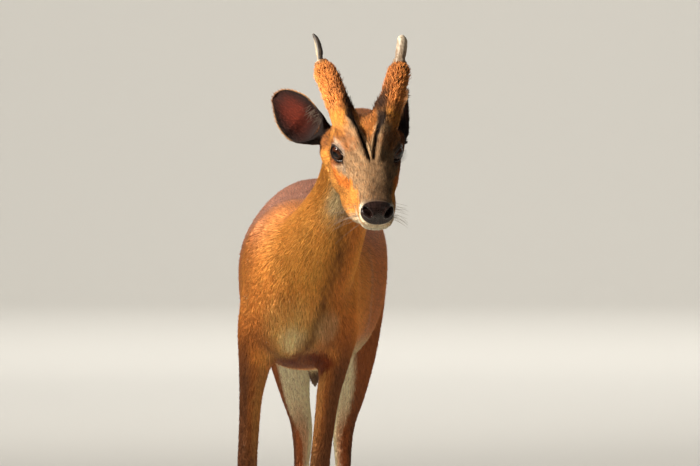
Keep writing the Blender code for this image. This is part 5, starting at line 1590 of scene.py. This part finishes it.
def swept(paths, radii, sides=6, closed=False):
    """Thin round rods along rows of points, all as one set of points and triangles."""
    points, tris = [], []
    made = 0
    for path, radius in zip(paths, radii):
        path = np.asarray(path)
        count = len(path)
        if closed:
            along = unit(np.roll(path, -1, 0) - np.roll(path, 1, 0))
        else:
            along = unit(np.gradient(path, axis=0))
        guide = np.array((0.31, 0.52, 0.80)) if abs(along[0] @ np.array((0.31, 0.52, 0.80))) < 0.9 else np.array((1.0, 0, 0))
        a = unit(np.cross(along, guide))
        b = np.cross(along, a)
        angles = np.arange(sides) * math.tau / sides
        ring = np.cos(angles)[None, :, None] * a[:, None] + np.sin(angles)[None, :, None] * b[:, None]
        ring = path[:, None] + ring * np.asarray(radius)[:, None, None]
        points.append(ring.reshape(-1, 3))
        last = count if closed else count - 1
        for i in range(last):
            for j in range(sides):
                p, q = made + i * sides + j, made + i * sides + (j + 1) % sides
                n = made + ((i + 1) % count) * sides
                r, s = n + j, n + (j + 1) % sides
                tris += [(p, q, s), (p, s, r)]
        if not closed:
            end = made + (count - 1) * sides
            for j in range(1, sides - 1):
                tris += [(made, made + j + 1, made + j), (end, end + j, end + j + 1)]
        made += count * sides
    return np.concatenate(points), np.array(tris)


def lids_and_lashes():
    rims, sizes, lashes, thick = [], [], [], []
    rng = np.random.default_rng(5)
    for side in (-1, 1):
        centre = np.array(eye_centre(side))
        path = []
        for k in range(56):
            way = np.array(lid_direction(side, math.tau * k / 56, 1.0))
            path.append((centre + way * (EYE_RADIUS + 0.0011)) @ AXES.T + EYE_POINT)
        rims.append(path)
        sizes.append(np.full(56, 0.00075))
        outward = np.array(eye_axes(side)[0])
        for k in range(30):
            angle = math.radians(22 + 136 * (k + rng.uniform(-0.3, 0.3)) / 29)
            way = np.array(lid_direction(side, angle, 1.0))
            start = centre + way * (EYE_RADIUS + 0.0014)
            out = unit(outward * 0.9 + way * 0.25)
            length = rng.uniform(0.0050, 0.0075) * (0.7 + 0.3 * math.sin(angle))
            row = []
            for t in np.linspace(0, 1, 5):
                row.append((start + out * length * t + np.array((0, 0, 1)) * length * (-0.30 * t + 0.42 * t * t)) @ AXES.T + EYE_POINT)
            lashes.append(row)
            thick.append(np.array((0.00020, 0.00018, 0.00015, 0.00010, 0.00003)))
    points, tris = swept(rims, sizes, sides=8, closed=True)
    rim = mesh_object("lid_margins", points, tris, np.tile(rgb(40, 28, 24), (len(points), 1)))
    points, tris = swept(lashes, thick, sides=3)
    lash = mesh_object("lashes", points, tris, np.tile(rgb(28, 20, 16), (len(points), 1)))
    return rim, lash


def ear_hairs():
    """Pale hairs that fan from the base of each ear over its cup."""
    rng = np.random.default_rng(31)
    rows, radii = [], []
    for side in (-1, 1):
        f, stalk = EAR_FRAMES[side], EARS[side][1]
        stations = np.array(EAR_STATIONS)
        for _ in range(58):
            share = rng.uniform(0.10, 0.46)
            half, roll, lean, sway = (np.interp(share, stations[:, 0], stations[:, k]) for k in (1, 2, 5, 6))
            roll = math.radians(roll)
            radius = half / math.sin(min(roll, math.pi / 2))
            centre = -radius * math.cos(roll) * min(1.0, max(0.0, (share - 0.1) / 0.4)) + lean
            # they root just inside the edge that lies next to the pedicle
            angle = side * roll * rng.uniform(0.62, 0.90)
            z = stalk + (EAR_LENGTH - stalk) * share
            root = np.array((radius * 0.97 * math.sin(angle) + side * sway, radius * 0.97 * math.cos(angle) + centre, z))
            way = unit(np.array((-side * rng.uniform(0.7, 1.1), -rng.uniform(0.10, 0.45), rng.uniform(-0.15, 0.75))))
            length = rng.uniform(0.009, 0.020)
            bow = np.array((0.0, 0.35, 0.0))
            row = [root + way * length * t + bow * length * t * t for t in np.linspace(0, 1, 5)]
            rows.append([f[:3, :3] @ p + f[:3, 3] for p in row])
            radii.append(np.linspace(0.00019, 0.00004, 5))
    points, tris = swept(rows, radii, sides=3)
    return mesh_object("ear_hairs", points, tris, np.tile(rgb(104, 88, 74), (len(points), 1)))


# How far whiskers reach to the animal's left
WHISKER_REACH = 0.1560


def whiskers(tree):
    rng = np.random.default_rng(21)
    rows, radii = [], []
    for side in (-1, 1):
        for k in range(17):
            ahead = rng.uniform(0.092, 0.118)
            level = rng.uniform(-0.020, -0.004)
            start = np.array((side * 0.05, -ahead, level))
            hit = tree.ray_cast(Vector(start @ AXES.T + EYE_POINT), Vector(np.array((-side, 0, 0)) @ AXES.T))[0]
            if hit is None:
                continue
            root = in_head(np.array(hit)[None])[0]
            way = unit(np.array((side * rng.uniform(0.7, 1.2), rng.uniform(-0.1, 0.5), rng.uniform(-0.75, -0.05))))
            length = rng.uniform(0.020, 0.040)
            droop = np.array((0, 0.10, -rng.uniform(0.15, 0.5)))
            row = np.array([(root - way * 0.001 + way * length * t + droop * length * t * t) @ AXES.T + EYE_POINT for t in np.linspace(0, 1, 7)])
            spare = (WHISKER_REACH - row[0, 0]) / max(row[-1, 0] - row[0, 0], 1e-6) if side > 0 else 1
            rows.append(row[0] + (row - row[0]) * min(1, spare))
            radii.append(np.linspace(0.00024, 0.00008, 7))
    for k in range(14):
        start = np.array((rng.uniform(-0.012, 0.012), -rng.uniform(0.070, 0.116), -0.08))
        hit = tree.ray_cast(Vector(start @ AXES.T + EYE_POINT), Vector(np.array((0, 0, 1)) @ AXES.T))[0]
        if hit is None:
            continue
        root = in_head(np.array(hit)[None])[0]
        way = unit(np.array((rng.uniform(-0.4, 0.4), rng.uniform(0.0, 0.5), -1)))
        length = rng.uniform(0.014, 0.030)
        rows.append([(root - way * 0.001 + way * length * t) @ AXES.T + EYE_POINT for t in np.linspace(0, 1, 6)])
        radii.append(np.linspace(0.00016, 0.00004, 6))
    points, tris = swept(rows, radii, sides=3)
    return mesh_object("whiskers", points, tris, np.tile(rgb(132, 112, 92), (len(points), 1)))


def antler_piece(side):
    root, tip = Vector(PEDICLE_ROOT), Vector(PEDICLE_TIP)
    along = (tip - root).normalized()
    base = tip + along * 0.0002
    rows = ANTLER_RIGHT if side < 0 else ANTLER_LEFT
    turn_up = Vector((0.0, -0.30, 0.60))
    fine = smooth_through([(r[0], 0, 0, r[1], r[2]) for r in rows], 6)
    points = []
    sides = 28
    for reach, _, _, out, radius in fine:
        bend = reach * reach * 5.0
        aside = Vector((out, 0.0, 0.0))
        centre = base + along * (reach - 0.003 if reach < 0.001 else reach) + turn_up * bend * 0.9
        centre += aside - along * aside.dot(along)
        way = (along + turn_up * reach * 9.0).normalized() if reach > 0.003 else along
        side_way = way.cross(Vector((0.0, 0.0, 1.0))).normalized()
        over = side_way.cross(way)
        for k in range(sides):
            angle = math.tau * k / sides
            ridge = 1 + 0.045 * math.sin(angle * 7 + reach * 60) * (1 - reach / 0.05) + 0.02 * math.sin(angle * 13 - reach * 300)
            knob = 1 + 0.10 * abs(math.sin(angle * 6 + 1.0)) * (0.0008 < reach < 0.0035)
            p = centre + side_way * math.cos(angle) * radius * 0.92 * ridge * knob + over * math.sin(angle) * radius * ridge * knob
            points.append((p.x * side, p.y, p.z))
    local = np.array(points)
    count = len(fine)
    tris = []
    for i in range(count - 1):
        for j in range(sides):
            a, b = i * sides + j, i * sides + (j + 1) % sides
            tris += [(a, b, b + sides), (a, b + sides, a + sides)]
    last = (count - 1) * sides
    for j in range(1, sides - 1):
        tris += [(0, j + 1, j), (last, last + j, last + j + 1)]
    tris = np.array(tris)
    volume = np.einsum("ij,ij->i", local[tris[:, 0]] - local[0], np.cross(local[tris[:, 1]] - local[0], local[tris[:, 2]] - local[0])).sum()
    if volume < 0:
        tris = tris[:, ::-1]
    share = np.repeat(np.linspace(0, 1, count), sides)
    wear = wave(local, 0.004, 2)
    dark, pale = (rgb(70, 54, 42), rgb(184, 164, 136)) if side < 0 else (rgb(128, 106, 84), rgb(206, 190, 166))
    colour = mix(np.tile(dark, (len(local), 1)), pale, np.clip(step(share, 0.25, 0.95) * 0.75 + 0.28 * wear, 0, 1))
    # the right antler is painted dark as shade, with a painted highlight along its outward edge
    if side < 0:
        out = local.reshape(count, sides, 3).mean(1).repeat(sides, 0)[:, 0] - local[:, 0]
        edge = step(out, 0.0022, 0.0036)
        colour = mix(np.tile(rgb(36, 27, 22), (len(local), 1)), rgb(84, 70, 58), np.clip(0.3 + 0.5 * wear, 0, 1))
        colour = mix(colour, rgb(196, 180, 152), edge * 0.8)
        colour = mix(np.tile(rgb(150, 104, 62), (len(local), 1)), colour, step(share, 0.12, 0.20))
    else:
        pits = step(wave(local, 0.0022, 13), 0.35, 0.9)
        colour = mix(colour, rgb(92, 74, 58), pits * 0.8)
    points = local @ AXES.T + EYE_POINT
    name = "left" if side > 0 else "right"
    made = mesh_object("antler_bone_" + name, points, tris, colour)
    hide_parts("antler_" + name)
    return made


def hoof_pieces():
    bm = bmesh.new()
    replaced = []
    for leg in LEGS:
        x, y = foot_place(leg)
        for side in (1, -1):
            rings = []
            for z, front, back, half, egg in (
                (CORONET - 0.0002, 0.0122, 0.0120, 0.0056, -0.15),
                (0.0225, 0.0132, 0.0124, 0.0058, -0.16),
                (0.0160, 0.0168, 0.0138, 0.0060, -0.22),
                (0.0060, 0.0223, 0.0149, 0.0061, -0.30),
                (0.0010, 0.0247, 0.0147, 0.0059, -0.34),
                (0.0000, 0.0240, 0.0142, 0.0054, -0.34),
            ):
                rings.append(ring(x + side * 0.0066, y, z, half, front, back, slope=-90, egg=egg, square=2.6))
            loft(bm, rings, sides=32, steps=3)
        foot = leg.name.replace("leg", "").replace("fore", "front")
        replaced += ["hoof_%s_%s" % (foot, s) for s in ("left", "right")]
    points = points_of(bm)
    points[:, 2] = np.maximum(points[:, 2], 0.0)
    tris = triangles_of(bm)
    bm.free()
    rings_of_growth = 0.5 + 0.5 * np.sin(points[:, 2] * 2600 + points[:, 1] * 300)
    colour = mix(np.tile(rgb(44, 38, 35), (len(points), 1)), rgb(88, 76, 66), 0.35 * rings_of_growth + 0.3 * step(-points[:, 2], -0.006, 0.0))
    made = mesh_object("hooves", points, tris, colour)
    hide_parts(*replaced)
    claws = bmesh.new()
    replaced = []
    for leg in LEGS:
        x, _ = foot_place(leg)
        row = [r for r in (FORELEG_STATIONS if leg.fore else HINDLEG_STATIONS) if 0.05 < r[0] < 0.06][0]
        x = sideways(leg, row[0])
        y = row[1] + row[4] + step_forward(leg, row[0]) - 0.0030
        z = row[0] - 0.006
        for side in (1, -1):
            path = (
                (x + side * 0.0062, y - 0.0060, z + 0.0040, 0.0024),
                (x + side * 0.0066, y - 0.0010, z + 0.0006, 0.0032),
                (x + side * 0.0070, y + 0.0024, z - 0.0036, 0.0027),
                (x + side * 0.0072, y + 0.0042, z - 0.0074, 0.0011),
            )
            tube(claws, path, sides=16, steps=4)
        foot = leg.name.replace("leg", "").replace("fore", "front")
        replaced += ["dewclaw_%s_%s" % (foot, s) for s in ("left", "right")]
    points = points_of(claws)
    tris = triangles_of(claws)
    claws.free()
    claw = mesh_object("dewclaws", points, tris, np.tile(rgb(48, 40, 36), (len(points), 1)))
    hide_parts(*replaced)
    return made, claw


def dress(made, finish):
    made.data.materials.clear()
    made.data.materials.append(finish)


def main():
    points, tris, ears, inner, source = build_skin()
    normals = vertex_normals(points, tris)
    region = region_of(points, ears)
    h = in_head(points)
    colour = coat_colour(points, normals, region, inner) * 0.72
    on_head = (source == 1)
    pad = step(pad_depth(h), -0.0006, 0.0008) * on_head
    hole = step(nostril_depth(h), 0.0, 0.5) * pad
    colour = mix(colour, mix(np.tile(rgb(22, 13, 11), (len(h), 1)), rgb(40, 27, 24), 0.5 + 0.5 * wave(h, 0.004, 3)), pad)
    colour = mix(colour, rgb(20, 9, 7), hole)
    gap, along = mouth_distance(h)
    colour = mix(colour, rgb(34, 24, 22), on_head * along * step(-np.abs(gap), -0.0012, -0.0005))
    wet = pad.copy()
    for side in (-1, 1):
        rho, _, far, _ = lid_place(h, side)
        lid = on_head * step(-rho, -1.18, -1.08) * (far < 0.020)
        colour = mix(colour, rgb(24, 18, 17), lid)
        wet = np.maximum(wet, lid * 0.55)
    skin = mesh_object("skin", points, tris, colour, skin_uv(points, tris, ears, inner).reshape(-1, 2), extra={"wet": wet})
    print("skin", len(tris))
    dress(skin, skin_material())
    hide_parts(*FLESH)
    coat = coat_material()
    tree = BVHTree.FromPolygons([tuple(p) for p in points.tolist()], tris.tolist())
    for piece in grow_coat(points, tris, ears, inner, source, tree):
        dress(piece, coat)
    eye_finish, _, _ = tinted("eye", 0.05, Specular_IOR_Level=0.16)
    for side in (-1, 1):
        dress(eyeball(side), eye_finish)
    rim, lash = lids_and_lashes()
    dress(rim, tinted("lid", 0.30)[0])
    dress(lash, tinted("lash", 0.5)[0])
    dress(whiskers(tree), tinted("whisker", 0.5)[0])
    dress(ear_hairs(), tinted("ear_hair", 0.6)[0])
    bone = tinted("antler_bone", 0.55)[0]
    for side in (-1, 1):
        dress(antler_piece(side), bone)
    horn = tinted("horn", 0.42)[0]
    for made in hoof_pieces():
        dress(made, horn)


def studio():
    """A pale floor that rises all round to a plain wall, and soft light from the animal's right."""
    bm = bmesh.new()
    outline = [(0.0, 0.0), (12.0, 0.0)]
    for k in range(1, 17):
        angle = math.radians(90 * k / 16)
        outline.append((12.0 + 4.0 * math.sin(angle), 4.0 - 4.0 * math.cos(angle)))
    outline.append((16.0, 11.0))
    points = [bm.verts.new((x, 0.0, z)) for x, z in outline]
    edges = [bm.edges.new(pair) for pair in zip(points, points[1:])]
    bmesh.ops.spin(bm, geom=points + edges, cent=(0, 0, 0), axis=(0, 0, 1), angle=math.tau, steps=96, use_merge=True)
    bmesh.ops.remove_doubles(bm, verts=bm.verts, dist=1e-5)
    floor = object_from(bm, "floor")
    if floor.data.polygons[0].normal.z < 0:
        floor.data.flip_normals()
    for face in floor.data.polygons:
        face.use_smooth = True
    finish, _, _ = material("floor", (0.62, 0.59, 0.53), 0.9)
    dress(floor, finish)
    world = bpy.data.worlds.new("studio")
    world.use_nodes = True
    world.node_tree.nodes["Background"].inputs["Color"].default_value = (0.90, 0.88, 0.84, 1.0)
    world.node_tree.nodes["Background"].inputs["Strength"].default_value = 0.15
    bpy.context.scene.world = world
    aim = Vector((0.05, -0.20, 0.48))
    for name, place, size, power, colour in (
        ("key", (-4.6, -2.9, 3.6), 0.45, 4300, (1.0, 0.94, 0.84)),
        ("fill", (3.0, -3.6, 1.8), 2.6, 6, (0.96, 0.97, 1.0)),
        ("back", (-0.8, 3.6, 3.2), 2.0, 70, (1.0, 0.98, 0.95)),
    ):
        lamp = bpy.data.lights.new(name, "SPOT" if name == "key" else "AREA")
        if name == "key":
            lamp.shadow_soft_size = size
            lamp.spot_size = math.radians(34)
            lamp.spot_blend = 0.9
        else:
            lamp.size = size
        lamp.energy = power
        lamp.color = colour
        made = bpy.data.objects.new(name, lamp)
        made.location = place
        made.rotation_mode = "QUATERNION"
        made.rotation_quaternion = (aim - Vector(place)).to_track_quat("-Z", "Y")
        bpy.context.scene.collection.objects.link(made)
    wall = bpy.data.lights.new("wall", "AREA")
    wall.size = 5.0
    wall.energy = 1060
    made = bpy.data.objects.new("wall", wall)
    made.location = (0.0, 5.5, 7.5)
    made.rotation_mode = "QUATERNION"
    made.rotation_quaternion = Vector((0.0, 8.0, -5.0)).to_track_quat("-Z", "Y")
    bpy.context.scene.collection.objects.link(made)
    bpy.context.scene.view_settings.view_transform = "Standard"


def photographer():
    """The camera as it stood: nearly level with the head, six metres off, a little to the animal's left."""
    turn, lift = math.radians(3.5), math.radians(1.0)
    back = Vector((math.sin(turn) * math.cos(lift), -math.cos(turn) * math.cos(lift), math.sin(lift)))
    camera = bpy.data.cameras.new("camera")
    camera.sensor_width = 36.0
    camera.lens = 36.0 * 4800 / 700
    camera.clip_end = 100.0
    made = bpy.data.objects.new("camera", camera)
    made.location = Vector((0.0809, -0.4415, 0.489)) - Vector(SHIFT) + back * 6.0
    made.rotation_mode = "QUATERNION"
    made.rotation_quaternion = (-back).to_track_quat("-Z", "Y")
    bpy.context.scene.collection.objects.link(made)
    bpy.context.scene.camera = made


SHIFT = np.zeros(3)
boxes = [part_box("eye_left"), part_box("eye_right")]
middle = sum((np.array(low) + np.array(high)) / 2 for low, high in boxes) / 2
SHIFT[:2] = (np.array(head_place() @ Vector((0.0, 0.0, EYE_UP))) - middle)[:2]
main()
studio()
photographer()
